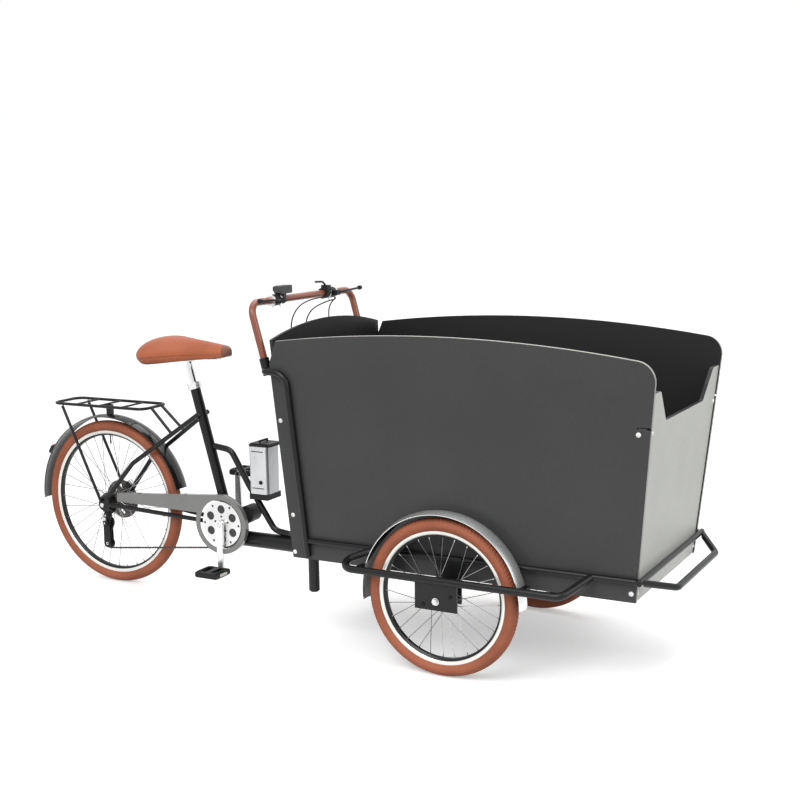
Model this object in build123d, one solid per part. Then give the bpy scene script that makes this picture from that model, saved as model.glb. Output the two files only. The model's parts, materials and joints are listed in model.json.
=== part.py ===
from build123d import *
from math import asin, atan2, cos, pi, radians, sin, sqrt, tan
import os

# Electric cargo tricycle: a load box that steers as one with its two front wheels,
# and a rear frame with saddle, motor, chain drive and one driven wheel.
# Millimetres. +X is forward, +Y is to the rider's left, +Z is up.
# Lengths along X are drawn from the rear axle, and each finished piece is moved so that
# the origin lies on the floor below the middle of the whole machine.

# Wheels
rear_tyre_radius = 333
front_tyre_radius = 262
tyre_width = 50
tyre_height = 40
tread_flat = 18
tread_drop = 7
rim_width = 30
rim_depth = 20
rim_wall = 8
rim_nose = 12
seat_gap = 0.3
rear_spoke_count = 36
front_spoke_count = 28
spoke_size = 2.6
spoke_sides = 3
spoke_lean = 58
spoke_end_gap = 0.6
spoke_pass_gap = 0.2
wheelbase = 1670

# Rear hub, its axle and the dropouts that hold it
rear_hub_half_length = 66
rear_flange_radius = 30
rear_flange_offset = 27
hub_barrel_radius = 18
hub_end_radius = 12
flange_thickness = 6
axle_radius = 6
running_gap = 0.4
nut_radius = 10
nut_length = 9
dropout_thickness = 6
dropout_radius = 24
brake_disc_radius = 80
brake_disc_offset = 46
disc_thickness = 3
disc_slot_length = 22
disc_slot_count = 8
disc_sides = 32

# Crank, chain and chain guard
crank_x = 565
crank_z = 308
chain_line = 49
chain_pitch = 12.7
chainwheel_teeth = 46
sprocket_teeth = 18
pulley_teeth = 11
cog_step = 4
cog_growth = 6
chain_width = 6
chain_height = 8
chain_gap = 0.5
spindle_radius = 12
crank_length = 175
crank_width = 26
crank_thickness = 12
crank_offset = 68
cover_radius = 88
cover_thickness = 4
cover_hole_radius = 17
cover_hole_circle = 58
cover_hole_count = 6
cover_hole_sides = 12
cover_pip_radius = 5
cover_pip_circle = 78
cover_pip_sides = 8
guard_ring_outer = 116
guard_ring_inner = 96
guard_width = 26
guard_wall = 2
guard_tail_top = 384
guard_tail_bottom = 350
guard_tail_x = 62
pedal_length = 100
pedal_width = 92
pedal_height = 22
pedal_axle_radius = 7
pedal_gap = 6

# Rear derailleur pulleys, from the rear axle and the floor
guide_pulley_x = 5
guide_pulley_z = 258
tension_pulley_x = 6
tension_pulley_z = 172
cage_wall = 2.5
hanger_x = 12
hanger_z = 291
pulley_half_width = 2

# Rear frame tubes
seat_tube_radius = 20
seat_tube_angle = 75
seat_tube_length = 526
main_beam_radius = 30
main_beam_z = 248
main_beam_setback = 63
brace_radius = 12
brace_joint = 302
brace_knee_share = 0.156
brace_knee_drop = 10
brace_fall_share = 0.311
brace_fall_rise = 184
brace_low_share = 0.543
brace_low_rise = 16
brace_end_share = 0.682
brace_end_rise = 8
brace_bend = 46
stay_radius = 9
stay_joint_drop = 98
stay_beside_front = 8
stay_beside_back = 18
stay_bend_x = 150
stay_bend_y = 61
stay_bend_rise = 179
stay_end_x = 22
stay_end_rise = 29.4
stay_bend_radius = 60
chain_stay_drop = 6
chain_stay_end_gap = 5.6
chain_stay_end_rise = 4
stay_spread_front = 24
stay_spread_rear = 75
cradle_half_width = 36
cradle_back = 45
motor_radius = 33
motor_half_width = 30
motor_ahead = 97
motor_rise = 42
motor_tail_back = 30
motor_tail_drop = 26
head_radius = 32
head_half_height = 38

# Saddle
post_radius = 14
post_rise = 108
clamp_height = 26
clamp_radius = 27
saddle_length = 400
saddle_width = 250
saddle_nose_radius = 27
saddle_height = 76
saddle_lift = 21.6
saddle_skirt = 28
saddle_wall = 11
saddle_crown_radius = 22
saddle_nose_lift = 28
saddle_nose_drop = 30
saddle_rear_drop = 9
rail_radius = 4
rail_sides = 6
rail_spread = 22
cradle_half_length = 24

# Rear fender and rack
fender_gap = 24
fender_width = 68
fender_crown = 12
fender_wall = 2
rear_fender_start_angle = 14
rear_fender_sweep_angle = 168
lamp_angle = 148
rack_z = 735
rack_radius = 6
rack_stay_share = 0.35
rack_half_width = 78
rack_rear_x = -228
rack_front_x = 228
rack_corner = 34
rack_rod_radius = 4
rack_rod_count = 3
strut_top_x = -180
strut_lean = 25
bridge_half_length = 12
bridge_half_width = 9

# Battery
battery_length = 82
battery_width = 92
battery_height = 180
battery_share = 0.345
battery_bottom = 440
battery_edge = 14

# Load box: plywood panels that lean outward
box_rear_set = 615
box_base_length = 1231
box_half_width = 330
ring_z = 375
panel_thickness = 12
side_lean = 4.4
front_lean = 4.8
rear_lean = 3.4
skirt_drop = 71
panel_fit = 0.6
end_set_back = 4
side_rear_rise = 611
side_corner_rise = 687
side_corner_in = 30
side_peak_rise = 721
side_peak_x = 508
side_front_rise = 664
side_front_radius = 62
front_panel_rise = 577
cutout_depth = 100
cutout_half_top = 292
cutout_half_bottom = 206
cutout_radius = 18
rear_panel_rise = 689
rear_panel_arch = 44
floor_thickness = 12
bolt_slot_length = 44
bolt_slot_height = 6
bolt_slot_rise = 474

# Front frame
ring_radius = 10
cross_size = 25
cross_end_gap = 12
cross_rear_in = 62
steer_in = 325
spine_half_gap = 62
rail_tube_radius = 12.5
rail_y = 455
rail_z = 332
rail_rear_reach = 398
rail_front_reach = 418
rail_bend = 38
rail_arm_rear_reach = 272
rail_arm_front_reach = 476
bracket_half = 6
bracket_length = 20
hub_side_gap = 3
axle_plate_width = 148
axle_plate_drop = 30
axle_plate_thickness = 6
inner_plate_width = 90
hoop_radius = 11
hoop_foot_z = 318
hoop_foot_in = 72
hoop_top_in = 32
hoop_turn_rise = 578
hoop_bend = 46
hoop_turn_in = 12
hoop_end_bend = 20
socket_radius = 17
socket_height = 60
socket_floor = 6
leg_radius = 19
leg_foot_z = 178
leg_inset = 2
leg_foot_edge = 5
bumper_radius = 11
bumper_reach = 92
bumper_half_width = 222
bumper_z = 340
bumper_bend = 40
kingpin_radius = 20
kingpin_flange = 48
flange_plate = 8
washer_height = 10

# Front wheels and fenders
front_hub_half_length = 42
front_flange_radius = 27
front_flange_offset = 26
front_fender_gap = 22
front_fender_width = 62
front_fender_start_angle = 0
front_fender_sweep_angle = 188

# Handlebar and its controls
bar_radius = 12.7
bar_half_width = 343
bar_z = 1180
bar_behind = 129
bar_foot_behind = 65
bar_foot_z = 945
bar_bend = 46
lever_y = 190
lever_clamp_width = 34
lever_clamp_radius = 20
lever_reach = 150
lever_knob_radius = 8
cable_radius = 2.5

rear_axle_z = rear_tyre_radius
front_axle_z = front_tyre_radius
box_rear_x = wheelbase - box_rear_set
box_front_x = box_rear_x + box_base_length
steer_x = box_rear_x + steer_in
saddle_z = crank_z + (seat_tube_length + post_rise) * sin(radians(seat_tube_angle)) + saddle_lift
frame_room = box_rear_x - crank_x
main_beam_start = crank_x + main_beam_setback
motor_x = crank_x + motor_ahead
motor_z = crank_z + motor_rise
battery_x = crank_x + battery_share * frame_room
rail_rear_x = wheelbase - rail_rear_reach
rail_front_x = wheelbase + rail_front_reach
rail_arm_rear_x = wheelbase - rail_arm_rear_reach
rail_arm_front_x = wheelbase + rail_arm_front_reach
hoop_foot_x = box_rear_x + hoop_foot_in
hoop_top_x = box_rear_x + hoop_top_in
bumper_front_x = box_front_x + bumper_reach
bar_x = box_rear_x - bar_behind
bar_foot_x = box_rear_x - bar_foot_behind
rear_reach = rear_tyre_radius + fender_gap + fender_wall
front_reach = bumper_front_x + bumper_radius
middle_x = (front_reach - rear_reach) / 2
inner_plate_y = box_half_width + 2 * ring_radius + 2 * seat_gap + axle_plate_thickness / 2
outer_plate_y = inner_plate_y + axle_plate_thickness + 2 * (front_hub_half_length + hub_side_gap)
wheel_y = (inner_plate_y + outer_plate_y) / 2
chainwheel_radius = chain_pitch / (2 * sin(pi / chainwheel_teeth))
sprocket_radius = chain_pitch / (2 * sin(pi / sprocket_teeth))
pulley_radius = chain_pitch / (2 * sin(pi / pulley_teeth))


def tube(points, radius, bend, sides=0):
    """A round tube along straight runs joined by tangent bends, or one with flats if sides are given."""
    if len(points) > 2:
        path = FilletPolyline(*points, radius=bend)
    else:
        path = Line(*points)
    start = Plane(origin=path @ 0, z_dir=path % 0)
    section = RegularPolygon(radius, sides) if sides else Circle(radius)
    return sweep(start * section, path=path)


def rod_y(x, z, radius, y_low, y_high):
    """A round bar along Y from y_low to y_high."""
    bar = extrude(Plane.XZ * Circle(radius), amount=(y_high - y_low) / 2, both=True)
    return Pos(x, (y_low + y_high) / 2, z) * bar


def slab_y(outline, y_low, y_high):
    """An outline drawn in X and Z, made solid from y_low to y_high."""
    solid = extrude(Plane.XZ * outline, amount=(y_high - y_low) / 2, both=True)
    return Pos(0, (y_low + y_high) / 2, 0) * solid


def block(x_low, x_high, y_low, y_high, z_low, z_high):
    """A plain block between its faces."""
    middle = Pos((x_low + x_high) / 2, (y_low + y_high) / 2, (z_low + z_high) / 2)
    return middle * Box(x_high - x_low, y_high - y_low, z_high - z_low)


def both_sides(piece):
    """The piece and its mirror image on the other side of the centre plane."""
    return [piece, mirror(piece, about=Plane.XZ)]


def tyre(outer_radius):
    """A tyre that sits on its rim: flat-topped tread, shoulders and bulged walls."""
    seat = outer_radius - tyre_height
    bulge = seat + 0.45 * tyre_height
    shoulder = outer_radius - tread_drop
    half = tyre_width / 2
    profile = Polyline(
        (seat, -rim_width / 2),
        (bulge, -half),
        (shoulder, -half * 0.72),
        (outer_radius, -tread_flat / 2),
        (outer_radius, tread_flat / 2),
        (shoulder, half * 0.72),
        (bulge, half),
        (seat, rim_width / 2),
        close=True,
    )
    return revolve(make_face(profile), axis=Axis.Y)


def rim(outer_radius):
    """A hollow-nosed rim inside the tyre, with a braking flat on each side."""
    edge = outer_radius - tyre_height - seat_gap
    half = rim_width / 2
    profile = Polyline(
        (edge, -half),
        (edge, half),
        (edge - rim_wall, half),
        (edge - rim_depth, rim_nose / 2),
        (edge - rim_depth, -rim_nose / 2),
        (edge - rim_wall, -half),
        close=True,
    )
    return revolve(make_face(profile), axis=Axis.Y)


def laced_hub(outer_radius, half_length, flange_radius, flange_offset, spoke_count):
    """A hub with two flanges and its spokes, laced so that they cross."""
    bore = axle_radius + running_gap
    flange_in = flange_offset - flange_thickness / 2
    flange_out = flange_offset + flange_thickness / 2
    profile = Polyline(
        (bore, -half_length),
        (hub_end_radius, -half_length),
        (hub_end_radius, -flange_out),
        (flange_radius, -flange_out),
        (flange_radius, -flange_in),
        (hub_barrel_radius, -flange_in),
        (hub_barrel_radius, flange_in),
        (flange_radius, flange_in),
        (flange_radius, flange_out),
        (hub_end_radius, flange_out),
        (hub_end_radius, half_length),
        (bore, half_length),
        close=True,
    )
    hub = revolve(make_face(profile), axis=Axis.Y)
    rim_inside = outer_radius - tyre_height - seat_gap - rim_depth
    hole_radius = flange_radius - spoke_size
    spokes = []
    for index in range(spoke_count):
        side = 1 if index % 2 else -1
        pull = 1 if (index // 2) % 2 else -1
        rim_angle = radians(360 / spoke_count * index)
        hub_angle = rim_angle - radians(pull * spoke_lean)
        beside = pull * (spoke_size + spoke_pass_gap) / 2
        face_y = side * flange_offset + beside
        foot = Vector(hole_radius * cos(hub_angle), face_y, hole_radius * sin(hub_angle))
        end_radius = rim_inside - spoke_end_gap
        end = Vector(end_radius * cos(rim_angle), side * rim_nose / 4 + beside, end_radius * sin(rim_angle))
        line = end - foot
        section = Plane(origin=foot, z_dir=line) * RegularPolygon(spoke_size / 2, spoke_sides)
        spokes.append(extrude(section, amount=line.length))
    return hub.fuse(*spokes)


def on_circles(circles, shift):
    """A closed loop round circles of (x, z, radius, turn), shifted outward by shift.

    A turn of 1 goes round a circle counter-clockwise, and -1 clockwise.
    """
    edges = []
    leave = []
    arrive = []
    count = len(circles)
    for index in range(count):
        x1, z1, radius1, turn1 = circles[index]
        x2, z2, radius2, turn2 = circles[(index + 1) % count]
        reach1 = turn1 * (radius1 + turn1 * shift)
        reach2 = turn2 * (radius2 + turn2 * shift)
        span = sqrt((x2 - x1) ** 2 + (z2 - z1) ** 2)
        heading = atan2(z2 - z1, x2 - x1) - asin((reach2 - reach1) / span)
        across = (-sin(heading), cos(heading))
        leave.append((x1 - reach1 * across[0], z1 - reach1 * across[1]))
        arrive.append((x2 - reach2 * across[0], z2 - reach2 * across[1]))
    for index in range(count):
        following = (index + 1) % count
        x, z, radius, turn = circles[following]
        first = arrive[index]
        last = leave[following]
        edges.append(Line(leave[index], first))
        start = atan2(first[1] - z, first[0] - x)
        swing = atan2(last[1] - z, last[0] - x) - start
        while swing * turn < 0:
            swing += turn * 2 * pi
        reach = radius + turn * shift
        middle = (x + reach * cos(start + swing / 2), z + reach * sin(start + swing / 2))
        edges.append(ThreePointArc(first, middle, last))
    return make_face(edges)


def chain_band():
    """The chain as one closed band round chainwheel, sprocket and both pulleys."""
    circles = [
        (crank_x, crank_z, chainwheel_radius, 1),
        (0, rear_axle_z, sprocket_radius, 1),
        (guide_pulley_x, guide_pulley_z, pulley_radius, -1),
        (tension_pulley_x, tension_pulley_z, pulley_radius, 1),
    ]
    outline = on_circles(circles, chain_height / 2) - on_circles(circles, -chain_height / 2)
    return slab_y(outline, -chain_line - chain_width / 2, -chain_line + chain_width / 2)


def toothed_disc(teeth, pitch_radius):
    """A flat toothed outline that stays inside the chain band."""
    tip = pitch_radius - chain_height / 2 - chain_gap
    root = tip - chain_pitch * 0.28
    points = []
    for tooth in range(teeth):
        for share, radius in ((0, tip), (0.5, root)):
            angle = 2 * pi * (tooth + share) / teeth
            points.append((radius * cos(angle), radius * sin(angle)))
    return make_face(Polyline(*points, close=True))


def chainwheel():
    """Chainwheel with its outer cover disc, on the crank spindle."""
    ring = toothed_disc(chainwheel_teeth, chainwheel_radius) - Circle(spindle_radius + seat_gap)
    wheel = slab_y(ring, -chain_line - pulley_half_width, -chain_line + pulley_half_width)
    disc = Circle(cover_radius) - Circle(spindle_radius + seat_gap)
    for index in range(cover_hole_count):
        angle = 360 / cover_hole_count * index + 90
        disc -= Rot(0, 0, angle) * Pos(cover_hole_circle, 0) * RegularPolygon(cover_hole_radius, cover_hole_sides)
        between = angle + 180 / cover_hole_count
        disc -= Rot(0, 0, between) * Pos(cover_pip_circle, 0) * RegularPolygon(cover_pip_radius, cover_pip_sides)
    cover_in = -chain_line - pulley_half_width
    cover = slab_y(disc, cover_in - cover_thickness, cover_in)
    return Pos(crank_x, 0, crank_z) * (wheel + cover)


def crank_arm():
    """One crank arm hanging straight down from the spindle axis, on the right."""
    boss = Circle(crank_width / 2 + 3)
    eye = Pos(0, -crank_length) * Circle(crank_width / 2 - 2)
    arm = make_hull(boss.edges() + eye.edges())
    arm -= Pos(0, -crank_length) * Circle(pedal_axle_radius + seat_gap)
    return slab_y(arm, -crank_offset - crank_thickness / 2, -crank_offset + crank_thickness / 2)


def cranks():
    """Spindle with the right arm down and the left arm up."""
    right = crank_arm()
    left = Rot(0, 180, 0) * mirror(right, about=Plane.XZ)
    spindle = rod_y(0, 0, spindle_radius, -crank_offset, crank_offset)
    return Pos(crank_x, 0, crank_z) * (spindle + right + left)


def pedal():
    """A flat pedal with two rubber treads, on its axle, to the right of the crank."""
    start = -crank_offset - crank_thickness / 2 - pedal_gap
    middle = start - pedal_width / 2
    body = Pos(0, middle, 0) * Box(pedal_length, pedal_width, pedal_height)
    body = chamfer(body.edges().filter_by(Axis.Y), 5)
    slot_length = pedal_length / 2 - 22
    for side in (-1, 1):
        window = Box(slot_length, pedal_width - 24, pedal_height + 2)
        body -= Pos(side * (10 + slot_length / 2), middle, 0) * window
    axle = rod_y(0, 0, pedal_axle_radius, start, -crank_offset + crank_thickness / 2)
    return body + axle


def chain_guard():
    """Guard over the upper chain run, with a ring round the chainwheel."""
    ring_low = crank_z - guard_ring_outer
    back = [
        (guard_tail_x, guard_tail_bottom),
        (crank_x - guard_ring_outer * 0.8, crank_z + 36),
        (crank_x, crank_z),
        (crank_x, crank_z + guard_ring_outer),
        (guard_tail_x, guard_tail_top),
    ]
    outline = make_face(Polyline(*back, close=True)) + Pos(crank_x, crank_z) * Circle(guard_ring_outer)
    hole = Pos(crank_x, crank_z) * Circle(guard_ring_inner)
    y_out = -chain_line - guard_width / 2
    y_in = -chain_line + guard_width / 2 - 6
    shell = slab_y(outline - hole, y_out, y_in)
    room = offset(outline, amount=-guard_wall) + make_face(Polyline(
        (guard_tail_x - 1, guard_tail_bottom + guard_wall),
        (guard_tail_x + 30, guard_tail_bottom + guard_wall),
        (guard_tail_x + 30, guard_tail_top - guard_wall),
        (guard_tail_x - 1, guard_tail_top - guard_wall),
        close=True,
    ))
    shell -= slab_y(room, y_out + guard_wall, y_in + 1)
    lower = block(crank_x - guard_ring_outer, crank_x - 40, y_out + guard_wall, y_in + 1, ring_low, crank_z - 60)
    return shell - lower


def seat_tube():
    """Seat tube from the crank cradle up to the post clamp."""
    lean = radians(seat_tube_angle)
    foot = (crank_x, 0, crank_z)
    top = (crank_x - seat_tube_length * cos(lean), 0, crank_z + seat_tube_length * sin(lean))
    whole = tube([foot, top], seat_tube_radius, 0)
    return split(whole, bisect_by=Plane.XY.offset(cradle_top()), keep=Keep.TOP)


def cradle_top():
    """Height of the flat top of the crank cradle."""
    return crank_z + 30


def seat_axis(distance):
    """The point on the seat tube's axis at a distance from the crank."""
    lean = radians(seat_tube_angle)
    return Vector(crank_x - distance * cos(lean), 0, crank_z + distance * sin(lean))


def motor_outline(extra):
    """Outline of the motor housing in X and Z, grown by extra."""
    front = Pos(motor_x, motor_z) * Circle(motor_radius + extra)
    rear = Pos(motor_x - motor_tail_back, motor_z - motor_tail_drop) * Circle(motor_radius * 0.7 + extra)
    return make_hull(front.edges() + rear.edges())


def motor():
    """Electric motor in front of the crank, above the main beam."""
    return slab_y(motor_outline(0), -motor_half_width, motor_half_width)


def crank_cradle():
    """Bottom bracket block that joins the seat tube, the main beam and the motor."""
    low = main_beam_z - main_beam_radius
    outline = make_face(Polyline(
        (crank_x - cradle_back, cradle_top()),
        (crank_x + 40, cradle_top()),
        (main_beam_start, crank_z),
        (main_beam_start, low),
        (crank_x - 12, low),
        (crank_x - cradle_back, crank_z - 34),
        close=True,
    ))
    outline -= motor_outline(seat_gap)
    outline -= Pos(crank_x, crank_z) * Circle(spindle_radius + running_gap)
    return slab_y(outline, -cradle_half_width, cradle_half_width)


def main_beam():
    """Main beam that runs forward under the load box to the steering head."""
    start = (main_beam_start, 0, main_beam_z)
    end = (steer_x, 0, main_beam_z)
    beam = tube([start, end], main_beam_radius, 0)
    head = Pos(steer_x, 0, main_beam_z) * Cylinder(head_radius, 2 * head_half_height)
    bore = Pos(steer_x, 0, main_beam_z) * Cylinder(kingpin_radius + running_gap, 4 * head_half_height)
    return beam + head - bore


def frame_brace():
    """Curved thin tube from the seat tube down to the main beam."""
    start = seat_axis(brace_joint) + Vector(seat_tube_radius, 0, 0)
    beam_top = main_beam_z + main_beam_radius
    points = [
        start,
        (start.X + brace_knee_share * frame_room, 0, start.Z - brace_knee_drop),
        (start.X + brace_fall_share * frame_room, 0, beam_top + brace_fall_rise),
        (start.X + brace_low_share * frame_room, 0, beam_top + brace_low_rise),
        (start.X + brace_end_share * frame_room, 0, beam_top + brace_end_rise),
    ]
    whole = tube(points, brace_radius, brace_bend)
    lean = radians(seat_tube_angle)
    face = Plane(origin=start + Vector(2 * seat_gap, 0, 0), z_dir=(sin(lean), 0, cos(lean)))
    whole = split(whole, bisect_by=face, keep=Keep.TOP)
    return split(whole, bisect_by=Plane.XY.offset(beam_top + seat_gap), keep=Keep.TOP)


def chain_stay():
    """Right chain stay from the cradle to the dropout."""
    start = (crank_x - cradle_back + stay_radius, -stay_spread_front, crank_z - chain_stay_drop)
    end = (dropout_radius + chain_stay_end_gap, -stay_spread_rear, rear_axle_z + chain_stay_end_rise)
    cut = Plane.YZ.offset(crank_x - cradle_back - seat_gap)
    return split(tube([start, end], stay_radius, 0), bisect_by=cut, keep=Keep.BOTTOM)


def seat_stay_points():
    """Route of the right seat stay: beside the seat tube, bent down to the dropout."""
    top = seat_axis(seat_tube_length - stay_joint_drop)
    beside = -seat_tube_radius - stay_radius - seat_gap
    bend = Vector(stay_bend_x, -stay_bend_y, rear_axle_z + stay_bend_rise)
    slope = (top.Z - bend.Z) / (top.X - bend.X)
    return [
        Vector(top.X + stay_beside_front, beside, top.Z + slope * stay_beside_front),
        Vector(top.X - stay_beside_back, beside, top.Z - slope * stay_beside_back),
        bend,
        Vector(stay_end_x, -stay_spread_rear, rear_axle_z + stay_end_rise),
    ]


def seat_stay(radius):
    """Right seat stay, of the given radius."""
    return tube(seat_stay_points(), radius, stay_bend_radius)


def dropout():
    """Right dropout plate with the axle hole."""
    outline = Circle(dropout_radius)
    outline += Pos(10, 14) * Circle(dropout_radius * 0.8)
    outline -= Circle(axle_radius + running_gap)
    y_out = -rear_hub_half_length - hub_side_gap - dropout_thickness
    return Pos(0, 0, rear_axle_z) * slab_y(outline, y_out, y_out + dropout_thickness)


def dropouts():
    """Both dropouts, the right one with the hanger of the derailleur."""
    right = dropout()
    left = mirror(right, about=Plane.XZ)
    y_out = -rear_hub_half_length - hub_side_gap - dropout_thickness
    hanger = block(hanger_x - 10, hanger_x + 10, y_out, y_out + dropout_thickness, hanger_z - 10, rear_axle_z - 12)
    return [right + hanger, left]


def rear_axle():
    """Rear axle through both dropouts, with a nut outside each."""
    half = rear_hub_half_length + hub_side_gap + dropout_thickness
    rod = rod_y(0, 0, axle_radius, -half - nut_length - 3, half + nut_length + 3)
    nut = extrude(Plane.XZ * RegularPolygon(nut_radius, 6), amount=nut_length / 2, both=True)
    for side in (-1, 1):
        rod += Pos(0, side * (half + seat_gap + nut_length / 2), 0) * nut
    return Pos(0, 0, rear_axle_z) * rod


def brake_disc():
    """Rear brake disc on the left of the hub."""
    disc = RegularPolygon(brake_disc_radius, disc_sides) - Circle(hub_end_radius + seat_gap)
    for index in range(disc_slot_count):
        angle = 360 / disc_slot_count * index
        slot = Rot(0, 0, 45) * Rectangle(disc_slot_length, disc_slot_length / 2)
        disc -= Rot(0, 0, angle) * Pos(brake_disc_radius * 0.66, 0) * slot
    y_low = brake_disc_offset - disc_thickness / 2
    return Pos(0, 0, rear_axle_z) * slab_y(disc, y_low, y_low + disc_thickness)


def cassette():
    """Stack of rear sprockets, smallest outside, the one in use inside the chain band."""
    bore = Circle(hub_end_radius + seat_gap)
    run = sprocket_radius - chain_height / 2 - chain_gap
    y_out = -chain_line - chain_width / 2 - cog_step
    stack = slab_y(Circle(run - cog_growth) - bore, y_out, y_out + cog_step)
    y_run = y_out + cog_step
    stack += slab_y(toothed_disc(sprocket_teeth, sprocket_radius) - bore, y_run, y_run + 2 * cog_step)
    y_inner = y_run + 2 * cog_step
    stack += slab_y(Circle(run) - bore, y_inner, y_inner + cog_step)
    largest = RegularPolygon(run + 2 * cog_growth, 2 * sprocket_teeth)
    stack += slab_y(largest - bore, y_inner + cog_step, y_inner + 2 * cog_step)
    return Pos(0, 0, rear_axle_z) * stack


def derailleur():
    """Rear derailleur: knuckle under the dropout and a cage with two pulleys."""
    guide = Pos(guide_pulley_x, guide_pulley_z)
    tension = Pos(tension_pulley_x, tension_pulley_z)
    cage_outline = make_hull((guide * Circle(12)).edges() + (tension * Circle(12)).edges())
    wheel = Circle(pulley_radius - chain_height / 2 - chain_gap)
    y_out = -chain_line - chain_width / 2 - 1 - cage_wall
    y_in = -chain_line + chain_width / 2 + 1
    parts = slab_y(cage_outline, y_out, y_out + cage_wall)
    parts += slab_y(cage_outline, y_in, y_in + cage_wall)
    for place in (guide, tension):
        parts += slab_y(place * wheel, -chain_line - pulley_half_width, -chain_line + pulley_half_width)
        parts += slab_y(place * Circle(4), y_out - 3, y_in + cage_wall)
    knuckle_top = Pos(hanger_x, hanger_z)
    knuckle = make_hull((guide * Circle(14)).edges() + (knuckle_top * Circle(15)).edges())
    knuckle_out = -rear_hub_half_length - hub_side_gap + seat_gap
    parts += slab_y(knuckle, knuckle_out, y_out - 1)
    return parts


def seat_post():
    """Seat post from inside the seat tube to the saddle clamp."""
    low = seat_axis(seat_tube_length + seat_gap)
    high = seat_axis(seat_tube_length + post_rise)
    return tube([low, high], post_radius, 0)


def seat_clamp():
    """Clamp collar round the post, on top of the seat tube, with its bolt."""
    low = seat_axis(seat_tube_length + seat_gap)
    plane = Plane(origin=low, z_dir=seat_axis(1) - seat_axis(0))
    collar = extrude(plane * (Circle(clamp_radius) - Circle(post_radius + seat_gap)), amount=clamp_height)
    return collar


def saddle_x(share):
    """A place along the saddle, from 0 at its rear to 1 at its nose."""
    rear = seat_axis(seat_tube_length + post_rise).X - saddle_length * 0.5
    return rear + share * saddle_length


def saddle_outline():
    """Outline of the saddle from above: broad rounded rear and long nose."""
    half = saddle_width / 2
    nose = saddle_nose_radius
    return make_face([
        ThreePointArc((saddle_x(0.16), half), (saddle_x(0), 0), (saddle_x(0.16), -half)),
        ThreePointArc((saddle_x(0.16), -half), (saddle_x(0.34), -half * 0.86), (saddle_x(0.58), -nose - 22)),
        Line((saddle_x(0.58), -nose - 22), (saddle_x(0.95), -nose)),
        ThreePointArc((saddle_x(0.95), -nose), (saddle_x(1), 0), (saddle_x(0.95), nose)),
        Line((saddle_x(0.95), nose), (saddle_x(0.58), nose + 22)),
        ThreePointArc((saddle_x(0.58), nose + 22), (saddle_x(0.34), half * 0.86), (saddle_x(0.16), half)),
    ])


def saddle_side():
    """Side view of the saddle: an underside that rises to the nose below a curved top."""
    low = saddle_z - saddle_skirt
    top = saddle_z + saddle_height
    rear = saddle_x(0) - 2
    nose = saddle_x(1) + 2
    return make_face([
        Line((rear, low), (nose, low + saddle_nose_lift)),
        Line((nose, low + saddle_nose_lift), (nose, top - saddle_nose_drop)),
        ThreePointArc((nose, top - saddle_nose_drop), (saddle_x(0.5), top - 3), (rear, top - saddle_rear_drop)),
        Line((rear, top - saddle_rear_drop), (rear, low)),
    ])


def saddle():
    """Deep saddle cover: a skirt round the rails, upright sides and a rounded top."""
    outline = saddle_outline()
    foot = Pos(0, 0, saddle_z - saddle_skirt)
    cover = extrude(foot * outline, amount=saddle_skirt + saddle_height + saddle_crown_radius)
    cover &= extrude(Plane.XZ * saddle_side(), amount=saddle_width, both=True)
    top_edges = cover.faces().sort_by(Axis.Z)[-1].edges()
    cover = fillet(top_edges, min(saddle_crown_radius, saddle_nose_radius - 3))
    return cover - extrude(foot * offset(outline, amount=-saddle_wall), amount=saddle_skirt)


def saddle_frame():
    """Two saddle rails, and under them the cradle that holds them on the seat post."""
    top = seat_axis(seat_tube_length + post_rise)
    rail_half = rail_radius * cos(pi / rail_sides)
    end_z = saddle_z - rail_half - 2 * seat_gap
    low_z = top.Z + 14
    rail = tube(
        [
            (saddle_x(0.12), -2 * rail_spread, end_z),
            (saddle_x(0.30), -rail_spread, low_z),
            (saddle_x(0.66), -rail_spread, low_z),
            (saddle_x(0.86), -rail_spread * 0.5, end_z),
        ],
        rail_radius,
        18,
        sides=rail_sides,
    )
    wide = rail_spread + rail_radius
    cradle = block(
        top.X - cradle_half_length, top.X + cradle_half_length,
        -wide, wide,
        top.Z + 4 + seat_gap, low_z - rail_half - seat_gap,
    )
    return both_sides(rail) + [cradle]


def fender(outer_radius, gap, width, start, sweep_angle):
    """A crowned wheel guard, from start degrees above the front, over the top."""
    inner = outer_radius + gap
    half = width / 2
    crown = inner + fender_wall
    low = inner - fender_crown / 2
    section = make_face([
        ThreePointArc((low, -half), (crown, 0), (low, half)),
        Line((low, half), (low - fender_wall, half)),
        ThreePointArc((low - fender_wall, half), (crown - fender_wall, 0), (low - fender_wall, -half)),
        Line((low - fender_wall, -half), (low, -half)),
    ])
    arch = revolve(section, axis=Axis.Y, revolution_arc=sweep_angle)
    return Rot(0, -start - sweep_angle, 0) * arch


def rear_fender():
    """Black guard over the rear wheel."""
    arch = fender(
        rear_tyre_radius, fender_gap, fender_width, rear_fender_start_angle, rear_fender_sweep_angle
    )
    return Pos(0, 0, rear_axle_z) * arch


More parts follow.
